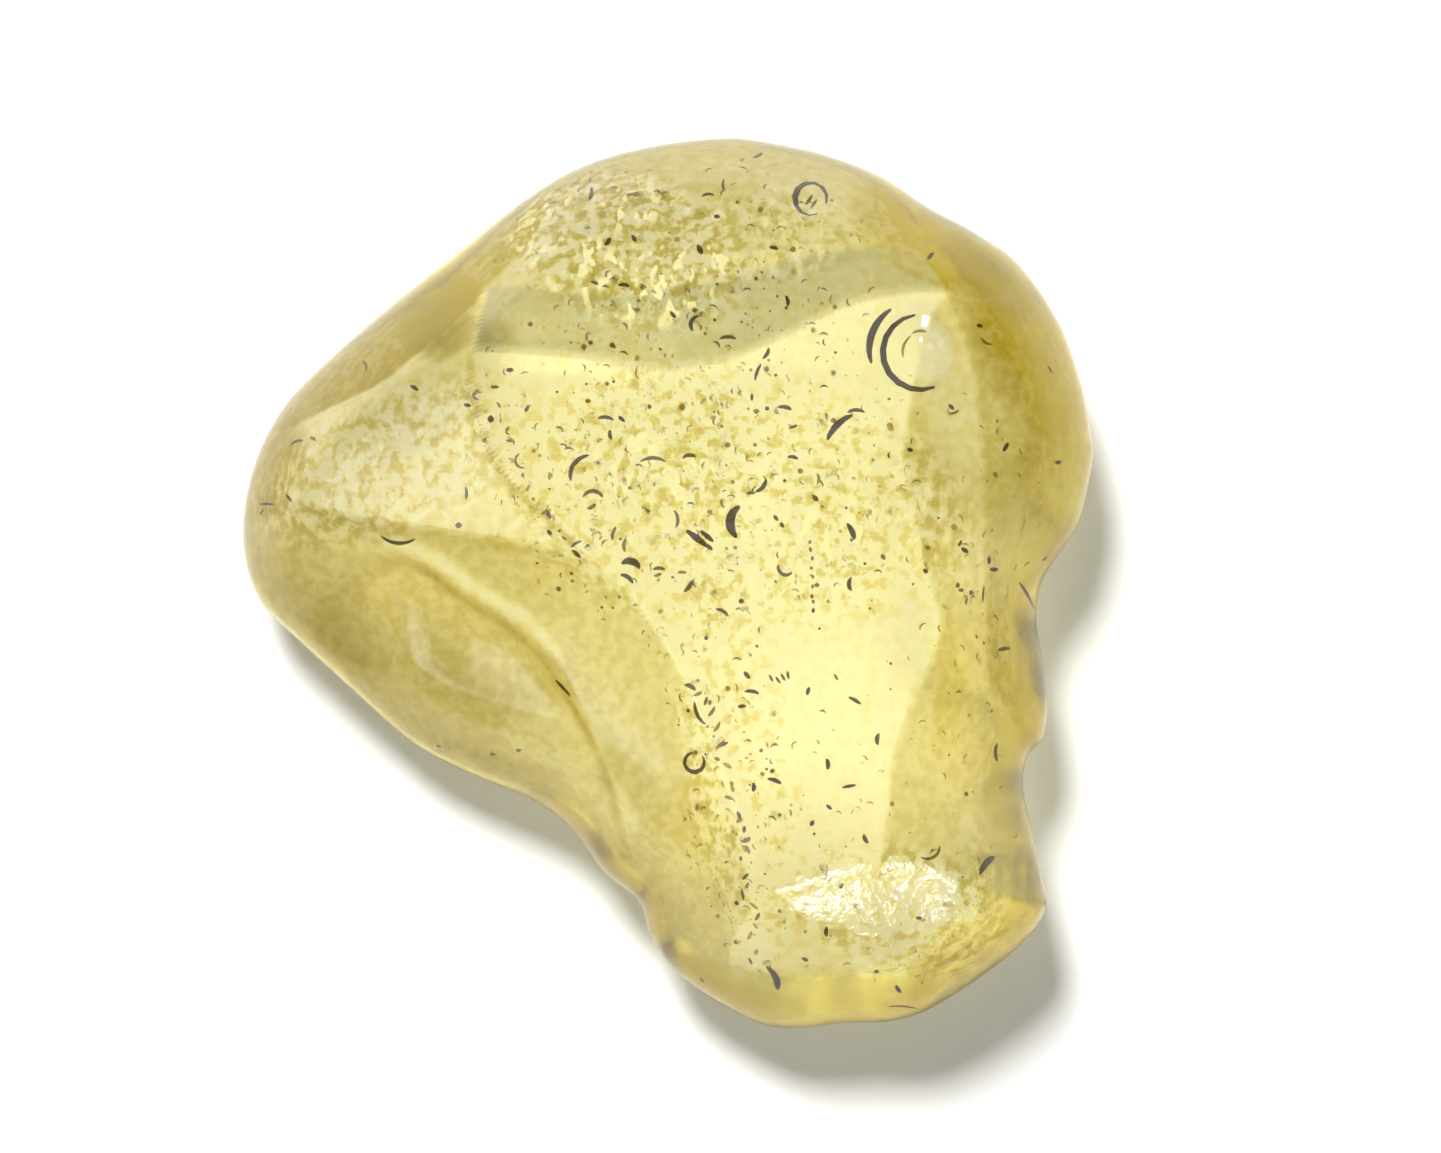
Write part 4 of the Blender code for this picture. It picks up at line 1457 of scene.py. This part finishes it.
@dataclass(frozen=True)
class BubbleStrokes:
    """The bubbles that the photograph shows clearly, as thin bent hollows just below the skin."""

    view: PhotoView = PhotoView()
    depth_mm: float = 0.15
    steps: int = 10
    tip_share: float = 0.3
    fullness: float = 0.7
    least_bend_deg: float = 1.0
    wider: float = 1.1
    sides: int = 4
    first_level_mm: float = 8.0
    passes: int = 3

    def level(self, form: StoneForm, places: np.ndarray) -> np.ndarray:
        """How high the hollows are at some places: a little below the skin."""
        x, y = places.T
        return form.top(x, y, form.inwards(x, y))[0] - self.depth_mm

    def arc(self, stroke: Stroke) -> tuple[np.ndarray, np.ndarray]:
        """The middle line of a stroke.

        Args:
            stroke: the stroke.

        Returns:
            The line's points and the stroke's width at each of them, in pixels.
        """
        share = np.linspace(-0.5, 0.5, self.steps + 1)
        bend = math.radians(max(stroke.bend_deg, self.least_bend_deg))
        facing = math.radians(stroke.facing_deg)
        turn = facing + share * bend
        out = np.column_stack([np.cos(turn) - math.cos(facing), math.sin(facing) - np.sin(turn)])
        swell = self.tip_share + (1 - self.tip_share) * np.cos(share * math.pi) ** self.fullness
        return np.array(stroke.middle_px) + stroke.length_px / bend * out, swell * stroke.width_px

    def guides(self, form: StoneForm) -> bpy.types.Mesh:
        """The middle lines of all strokes.

        Args:
            form: the stone's form, which they lie in.

        Returns:
            The lines, with their widths and how dark each is.
        """
        strokes = [*CENTRE_STROKES, *FAR_STROKES, *RIGHT_STROKES, *NEAR_STROKES, *LEFT_STROKES]
        for dashed in DASHED_LINES:
            strokes.extend(dashed.strokes())
        arcs = [self.arc(stroke) for stroke in strokes]
        line_px = np.concatenate([line for line, _ in arcs])
        width_px = np.concatenate([width for _, width in arcs])
        half_width = width_px * self.wider * self.view.mm_per_px / 2
        level = np.full(len(line_px), self.first_level_mm)
        for _ in range(self.passes):
            places = self.view.over(line_px, level)
            level = self.level(form, places)
        points = self.steps + 1
        runs = [(k, k + 1) for k in range(len(line_px)) if (k + 1) % points]
        mesh = bpy.data.meshes.new("stroke_guides")
        mesh.from_pydata((np.column_stack([places, level - half_width]) * MM).tolist(), runs, [])
        keep(mesh, Trait.THICK, half_width * MM)
        keep(mesh, Trait.BUBBLE_SHADE, np.repeat([stroke.dark for stroke in strokes], points))
        return mesh

    def build(self, form: StoneForm, wall: bpy.types.Material) -> bpy.types.Mesh:
        """Swells each middle line to a closed hollow, whose faces point into it and whose walls are painted
        shade.

        Args:
            form: the stone's form.
            wall: the material of the hollows.

        Returns:
            The hollows' mesh.
        """
        tree = GeometryTree("stroke_hollows", {"Sides": self.sides, "Material": wall})
        graph = tree.graph
        curve = graph.add("GeometryNodeMeshToCurve", {0: tree.start.outputs["Geometry"]}).outputs[0]
        feeds = {"Radius": 1.0, "Resolution": tree.given("Sides")}
        ring = graph.add("GeometryNodeCurvePrimitiveCircle", feeds).outputs[0]
        feeds = {"Curve": curve, "Profile Curve": ring, "Scale": graph.trait(Trait.THICK), "Fill Caps": True}
        tube = graph.add("GeometryNodeCurveToMesh", feeds).outputs[0]
        soft = graph.add("GeometryNodeSetShadeSmooth", {"Geometry": tube}).outputs[0]
        tree.finish(graph.add("GeometryNodeFlipFaces", {"Mesh": soft}).outputs[0])
        return tree.run(self.guides(form))


@dataclass(frozen=True)
class BubbleScatter:
    """The many small bubbles in the glass below the upper skin: round ones and small bent ones."""

    round_per_m2: float = 2.4e6
    bent_per_m2: float = 2.8e6
    least_mm: float = 0.035
    most_mm: float = 0.13
    rarely_big: float = 4.0
    ball_subdivisions: int = 1
    bent_reach_mm: float = 0.16
    bent_sizes: Point = (0.45, 1.3)
    bent_width: float = 0.2
    bent_tip: float = 0.3
    bent_start_deg: float = 40.0
    bent_sweep_deg: float = 115.0
    bent_points: int = 6
    bent_sides: int = 4
    deepest: float = 0.35
    rarely_deep: float = 2.0
    clear_of_skin: float = 1.5
    bubble_shades: Point = (0.25, 0.9)
    spins: Point = (-1.6, 1.9)
    tilts: Point = (-0.35, 0.35)
    flatness: float = 0.8
    seed: int = 7
    round_seed: int = 0
    round_size_seed: int = 11
    bent_seed: int = 40
    bent_size_seed: int = 12

    def build(self, skin: bpy.types.Mesh, glass: bpy.types.Material) -> bpy.types.Mesh:
        """Scatters the bubbles over the bubbly parts of the skin.

        Args:
            skin: the skin, with its traits.
            glass: the material of the bubbles.

        Returns:
            The bubbles' mesh, whose faces point into them.
        """
        sizes = {
            "Round per m2": self.round_per_m2,
            "Bent per m2": self.bent_per_m2,
            "Least radius": self.least_mm * MM,
            "Most radius": self.most_mm * MM,
            "Bent reach": self.bent_reach_mm * MM,
            "Bent width": self.bent_width,
            "Deepest share": self.deepest,
            "Seed": self.seed,
            "Material": glass,
        }
        tree = GeometryTree("bubble_scatter", sizes)
        graph = tree.graph
        feeds = {"Radius": 1.0, "Subdivisions": self.ball_subdivisions}
        ball = graph.add("GeometryNodeMeshIcoSphere", feeds).outputs[0]
        balls = self.strewn(tree, ball, "Round per m2", self.round_seed, self.round_size(tree))
        bent = self.bent_bubble(tree)
        bents = self.strewn(tree, bent, "Bent per m2", self.bent_seed, self.bent_size(tree))
        joined = graph.add("GeometryNodeJoinGeometry")
        graph.feed(joined.inputs[0], balls)
        graph.feed(joined.inputs[0], bents)
        real = graph.add("GeometryNodeRealizeInstances", {"Geometry": joined.outputs[0]}).outputs[0]
        soft = graph.add("GeometryNodeSetShadeSmooth", {"Geometry": real}).outputs[0]
        tree.finish(graph.add("GeometryNodeFlipFaces", {"Mesh": soft}).outputs[0])
        return tree.run(skin)

    def bent_bubble(self, tree: GeometryTree) -> bpy.types.NodeSocket:
        """One small bent bubble of reach 1: an arc that swells in the middle.

        Args:
            tree: the tree that it is added to.

        Returns:
            Its mesh.
        """
        graph = tree.graph
        angles = {
            "Start Angle": math.radians(self.bent_start_deg),
            "Sweep Angle": math.radians(self.bent_sweep_deg),
        }
        feeds = {"Resolution": self.bent_points, "Radius": 1.0, **angles}
        arc = graph.add("GeometryNodeCurveArc", feeds).outputs[0]
        feeds = {"Resolution": self.bent_sides, "Radius": 1.0}
        ring = graph.add("GeometryNodeCurvePrimitiveCircle", feeds).outputs[0]
        along = graph.add("GeometryNodeSplineParameter").outputs["Factor"]
        swell = graph.math("SINE", graph.math("MULTIPLY", along, math.pi))
        swell = graph.math("MULTIPLY_ADD", swell, 1 - self.bent_tip, self.bent_tip)
        width = graph.math("MULTIPLY", swell, tree.given("Bent width"))
        feeds = {"Curve": arc, "Profile Curve": ring, "Scale": width, "Fill Caps": True}
        return graph.add("GeometryNodeCurveToMesh", feeds).outputs[0]

    def round_size(self, tree: GeometryTree) -> bpy.types.NodeSocket:
        """The radius of each round bubble: most of them are small.

        Args:
            tree: the tree that it is added to.

        Returns:
            The radius.
        """
        graph = tree.graph
        pick = graph.math("POWER", graph.random(0.0, 1.0, self.round_size_seed), self.rarely_big)
        span = graph.math("SUBTRACT", tree.given("Most radius"), tree.given("Least radius"))
        return graph.math("MULTIPLY_ADD", pick, span, tree.given("Least radius"))

    def bent_size(self, tree: GeometryTree) -> bpy.types.NodeSocket:
        """The reach of each bent bubble."""
        size = tree.graph.random(*self.bent_sizes, self.bent_size_seed)
        return tree.graph.math("MULTIPLY", size, tree.given("Bent reach"))

    def strewn(
        self, tree: GeometryTree, shape: Value, density: str, first_seed: int, size: Value
    ) -> bpy.types.NodeSocket:
        """Strews one shape below the skin.

        Args:
            tree: the tree that it is added to.
            shape: the bubble's mesh, of reach 1.
            density: the named input with the most bubbles for each square metre.
            first_seed: where this shape's random seeds start.
            size: the reach of each bubble.

        Returns:
            The instances.
        """
        graph = tree.graph
        wanted = graph.math("MULTIPLY", graph.trait(Trait.BUBBLY), tree.given(density))
        seed = graph.math("ADD", tree.given("Seed"), float(first_seed))
        feeds = {"Mesh": tree.start.outputs["Geometry"], "Density": wanted, "Seed": seed}
        points = graph.add("GeometryNodeDistributePointsOnFaces", feeds).outputs["Points"]
        room = graph.math("MULTIPLY", graph.trait(Trait.DEEP), tree.given("Deepest share"))
        share = graph.math("POWER", graph.random(0.0, 1.0, first_seed + 1), self.rarely_deep)
        down = graph.math("MULTIPLY_ADD", room, share, graph.math("MULTIPLY", size, self.clear_of_skin))
        drop = graph.add("ShaderNodeCombineXYZ", {"Z": graph.math("MULTIPLY", down, -1.0)}).outputs[0]
        sunk = graph.add("GeometryNodeSetPosition", {"Geometry": points, "Offset": drop}).outputs[0]
        # Painted shade: how dark each bubble is painted, standing in for the dark rim it shows by bending
        # light.
        bubble_shade = graph.random(*self.bubble_shades, first_seed + 2)
        feeds = {"Geometry": sunk, "Name": Trait.BUBBLE_SHADE.value, "Value": bubble_shade}
        marked = graph.add("GeometryNodeStoreNamedAttribute", feeds, data_type="FLOAT").outputs[0]
        spin = graph.random(*self.spins, first_seed + 3)
        tilt = graph.random(*self.tilts, first_seed + 4)
        turned = graph.add("ShaderNodeCombineXYZ", {"X": tilt, "Z": spin}).outputs[0]
        rotation = graph.add("FunctionNodeEulerToRotation", {"Euler": turned}).outputs[0]
        flat = graph.math("MULTIPLY", size, self.flatness)
        scale = graph.add("ShaderNodeCombineXYZ", {"X": size, "Y": size, "Z": flat}).outputs[0]
        feeds = {"Points": marked, "Instance": shape, "Rotation": rotation, "Scale": scale}
        return graph.add("GeometryNodeInstanceOnPoints", feeds).outputs[0]


@dataclass(frozen=True)
class WindRelief:
    """The small hollows and the grain that wind has worn into the upper skin."""

    scallops_per_m: float = 900.0
    scallop_depth_mm: float = 0.05
    scallop_sharpness: float = 2.0
    dimples_per_m: float = 2200.0
    dimple_depth_mm: float = 0.06

    def build(self, skin: bpy.types.Mesh, glass: bpy.types.Material) -> bpy.types.Mesh:
        """Presses the hollows into the skin, straight down, and nowhere below the edge.

        Args:
            skin: the smooth skin, with its traits.
            glass: the material of the skin.

        Returns:
            The worn skin.
        """
        sizes = {
            "Scallops per m": self.scallops_per_m,
            "Scallop depth": self.scallop_depth_mm * MM,
            "Dimples per m": self.dimples_per_m,
            "Dimple depth": self.dimple_depth_mm * MM,
            "Material": glass,
        }
        tree = GeometryTree("wind_relief", sizes)
        graph = tree.graph
        place = graph.add("GeometryNodeInputPosition").outputs[0]
        bowl = graph.math("SUBTRACT", 1.0, graph.cells(place, tree.given("Scallops per m")))
        bowl = graph.math("POWER", bowl, self.scallop_sharpness)
        deep = graph.math("MULTIPLY", bowl, tree.given("Scallop depth"))
        fine = graph.noise(place, tree.given("Dimples per m"), 1.0)
        deep = graph.math("MULTIPLY_ADD", fine, tree.given("Dimple depth"), deep)
        down = graph.math("MULTIPLY", graph.math("MULTIPLY", deep, graph.trait(Trait.ETCHED)), -1.0)
        drop = graph.add("ShaderNodeCombineXYZ", {"Z": down}).outputs[0]
        feeds = {"Geometry": tree.start.outputs["Geometry"], "Offset": drop}
        tree.finish(graph.add("GeometryNodeSetPosition", feeds).outputs[0])
        return tree.run(skin)


@dataclass
class DesertGlass:
    """The whole stone: its skin, its relief and its bubbles, as one clear piece."""

    form: StoneForm
    finish: GlassFinish = GlassFinish()
    wall: ShadedBubbleWall = ShadedBubbleWall()
    relief: WindRelief = WindRelief()
    strokes: BubbleStrokes = BubbleStrokes()
    scatter: BubbleScatter = BubbleScatter()

    def sheet_faces(self, top: np.ndarray, under: np.ndarray) -> list[list[int]]:
        """The faces of both sheets.

        Args:
            top: the number of each corner of the upper sheet.
            under: the number of each corner of the lower sheet, or -1 where it has none.

        Returns:
            The corners of each face. A lower face spans two cells each way, and takes in the corners
            that it shares with the upper sheet along the edge.
        """
        cells = self.form.cells
        square = ((0, 0), (1, 0), (1, 1), (0, 1))
        ring = ((0, 0), (0, 1), (0, 2), (1, 2), (2, 2), (2, 1), (2, 0), (1, 0))
        faces = [[top[i + a, j + b] for a, b in square] for i, j in np.ndindex(cells, cells)]
        for i, j in np.ndindex(cells // 2, cells // 2):
            around = [under[2 * i + a, 2 * j + b] for a, b in ring]
            faces.append([corner for corner in around if corner >= 0])
        return faces

    def skin(self) -> bpy.types.Mesh:
        """The closed skin: a fine upper sheet and a lower sheet with cells twice as wide.

        Returns:
            The mesh, with its traits.
        """
        x, y, share = self.form.spread()
        on_edge = np.isclose(share, 1)
        inwards = np.where(on_edge, 0, self.form.inwards(x, y))
        upper, colour_and_shade = self.form.top(x, y, inwards)
        upper = np.where(on_edge, self.form.edge_height(x, y), upper)
        lower = self.form.under_height(x, y, inwards)
        fitted_x, fitted_y = self.form.fit(x, y)
        inner = np.zeros(x.shape, dtype=bool)
        inner[2:-2:2, 2:-2:2] = True
        top = np.arange(x.size).reshape(x.shape)
        under = np.full(x.shape, -1)
        under[on_edge] = top[on_edge]
        under[inner] = x.size + np.arange(inner.sum())
        top_places = np.stack([fitted_x, fitted_y, upper], axis=-1).reshape(-1, 3)
        under_places = np.stack([fitted_x, fitted_y, lower], axis=-1)[inner]
        places = np.concatenate([top_places, under_places]) * MM
        mesh = bpy.data.meshes.new("stone_skin")
        mesh.from_pydata(places.tolist(), [], self.sheet_faces(top, under))
        fade = np.clip(inwards, 0, 1)
        traits = {
            Trait.ETCHED: joint_weight(ETCHED_ZONES, x, y) * fade,
            Trait.BUBBLY: joint_weight(BUBBLY_ZONES, x, y) * fade,
            # Colour depth with painted shade, and neutral painted shade.
            Trait.OCHRE_AND_SHADE: colour_and_shade[..., 0],
            Trait.NEUTRAL_SHADE: colour_and_shade[..., 1],
            Trait.DEEP: (upper - lower) * MM,
            Trait.BUBBLE_SHADE: np.zeros(x.shape),
        }
        for trait, values in traits.items():
            keep(mesh, trait, np.concatenate([values.reshape(-1), np.zeros(len(under_places))]))
        mesh.shade_smooth()
        return mesh

    def build(self) -> bpy.types.Object:
        """Builds the stone and puts it on its body in place of the solid.

        Returns:
            The stone's object.
        """
        glass = self.finish.material()
        wall = self.wall.material()
        skin = self.relief.build(self.skin(), glass)
        strokes = self.strokes.build(self.form, wall)
        strokes.polygons.foreach_set("material_index", np.ones(len(strokes.polygons), dtype=np.int32))
        scatter = self.scatter.build(skin, glass)
        whole = bmesh.new()
        for part in (skin, strokes, scatter):
            whole.from_mesh(part)
        mesh = bpy.data.meshes.new(STONE_PIECE)
        mesh.materials.append(glass)
        mesh.materials.append(wall)
        whole.to_mesh(mesh)
        whole.free()
        piece = bpy.data.objects.new(STONE_PIECE, mesh)
        bpy.context.scene.collection.objects.link(piece)
        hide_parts(STONE_NODE)
        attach(piece, "root")
        return piece


@dataclass(frozen=True)
class Lamp:
    """A round soft lamp that points at the stone.

    It is given by its bearing and its rise seen from the stone, its width, how bright it is, and
    whether it shows in and through the glass and lights the floor.
    """

    name: str
    bearing_deg: float
    rise_deg: float
    width_mm: float
    watts: float
    in_glass: bool = True
    on_floor: bool = True
    distance_mm: float = 380.0

    def build(self) -> bpy.types.Object:
        """Puts the lamp in the scene.

        Returns:
            The lamp.
        """
        data = bpy.data.lights.new(self.name, "AREA")
        data.shape = "DISK"
        data.size = self.width_mm * MM
        data.energy = self.watts
        lamp = bpy.data.objects.new(self.name, data)
        bearing = math.radians(self.bearing_deg)
        rise = math.radians(self.rise_deg)
        flat = math.cos(rise)
        out = Vector((math.cos(bearing) * flat, math.sin(bearing) * flat, math.sin(rise)))
        lamp.location = out * self.distance_mm * MM
        lamp.rotation_euler = out.to_track_quat("Z", "Y").to_euler()
        lamp.visible_glossy = self.in_glass
        lamp.visible_transmission = self.in_glass
        lamp.visible_diffuse = self.on_floor
        bpy.context.scene.collection.objects.link(lamp)
        return lamp


@dataclass
class Studio:
    """The pale floor, the soft light and the camera, which looks down at the stone."""

    view: PhotoView = PhotoView()
    sensor_mm: float = 36.0
    clip_mm: Point = (10.0, 10000.0)
    floor_side_mm: float = 900.0
    floor_gap_mm: float = 0.02
    floor_colour: Colour = (0.9, 0.9, 0.9)
    floor_roughness: float = 0.8
    surroundings: Colour = (1.0, 0.985, 0.91)
    open_light: float = 0.36
    glass_light: float = 1.36
    lamps: tuple[Lamp, ...] = (
        Lamp("key", bearing_deg=114, rise_deg=58, width_mm=130, watts=2.3, in_glass=False),
        Lamp("soft_sheen", bearing_deg=190, rise_deg=50, width_mm=220, watts=0.45, on_floor=False),
        Lamp("near_glint", bearing_deg=-78, rise_deg=46, width_mm=110, watts=1.4, on_floor=False),
    )
    glass_bounces: int = 10
    glossy_bounces: int = 4
    diffuse_bounces: int = 2

    def floor(self) -> bpy.types.Object:
        """A plain pale floor at the height that the stone stands on.

        Returns:
            The floor's object.
        """
        mesh = bpy.data.meshes.new("pale_floor")
        side = self.floor_side_mm * MM / 2
        level = -self.floor_gap_mm * MM
        corners = [(x * side, y * side, level) for x, y in ((-1, -1), (1, -1), (1, 1), (-1, 1))]
        mesh.from_pydata(corners, [], [(0, 1, 2, 3)])
        material = bpy.data.materials.new("pale_floor")
        material.use_nodes = True
        shader = material.node_tree.nodes["Principled BSDF"]
        shader.inputs["Base Color"].default_value = (*self.floor_colour, 1)
        shader.inputs["Roughness"].default_value = self.floor_roughness
        mesh.materials.append(material)
        floor = bpy.data.objects.new("pale_floor", mesh)
        bpy.context.scene.collection.objects.link(floor)
        return floor

    def camera(self) -> bpy.types.Object:
        """A camera far above the stone with a long lens.

        Returns:
            The camera's object.
        """
        data = bpy.data.cameras.new("camera")
        data.sensor_width = self.sensor_mm
        frame_width_mm = self.view.frame_px[0] * self.view.mm_per_px
        data.lens = self.sensor_mm * self.view.distance_mm / frame_width_mm
        data.clip_start = self.clip_mm[0] * MM
        data.clip_end = self.clip_mm[1] * MM
        camera = bpy.data.objects.new("camera", data)
        back = self.view.back()
        camera.location = Vector(self.view.aim_mm) * MM + back * self.view.distance_mm * MM
        camera.rotation_euler = back.to_track_quat("Z", "Y").to_euler()
        bpy.context.scene.collection.objects.link(camera)
        bpy.context.scene.camera = camera
        return camera

    def light(self) -> None:
        """Soft light from everywhere, brighter through the glass, and the lamps."""
        world = bpy.data.worlds.new("studio")
        world.use_nodes = True
        graph = Graph(world.node_tree)
        background = world.node_tree.nodes["Background"]
        background.inputs["Color"].default_value = (*self.surroundings, 1)
        through = graph.add("ShaderNodeLightPath").outputs["Is Transmission Ray"]
        more = self.glass_light - self.open_light
        graph.feed(background.inputs["Strength"], graph.math("MULTIPLY_ADD", through, more, self.open_light))
        bpy.context.scene.world = world
        for lamp in self.lamps:
            lamp.build()

    def tune(self) -> None:
        """Plain colours, and no more light bounces than the glass needs."""
        scene = bpy.context.scene
        scene.view_settings.view_transform = "Standard"
        scene.cycles.max_bounces = self.glass_bounces
        scene.cycles.transmission_bounces = self.glass_bounces
        scene.cycles.glossy_bounces = self.glossy_bounces
        scene.cycles.diffuse_bounces = self.diffuse_bounces


def main() -> None:
    """Builds the stone and the studio."""
    logging.basicConfig(level=logging.INFO, format="%(message)s")
    low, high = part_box(STONE_NODE)
    size = ((high[0] - low[0]) / MM, (high[1] - low[1]) / MM)
    stone = DesertGlass(StoneForm(size_mm=size)).build()
    triangles = sum(len(face.vertices) - 2 for face in stone.data.polygons)
    log.info("%s: %d triangles", stone.name, triangles)
    studio = Studio()
    log.info("%s: laid", studio.floor().name)
    studio.light()
    studio.camera()
    studio.tune()


if __name__ == "__main__":
    main()
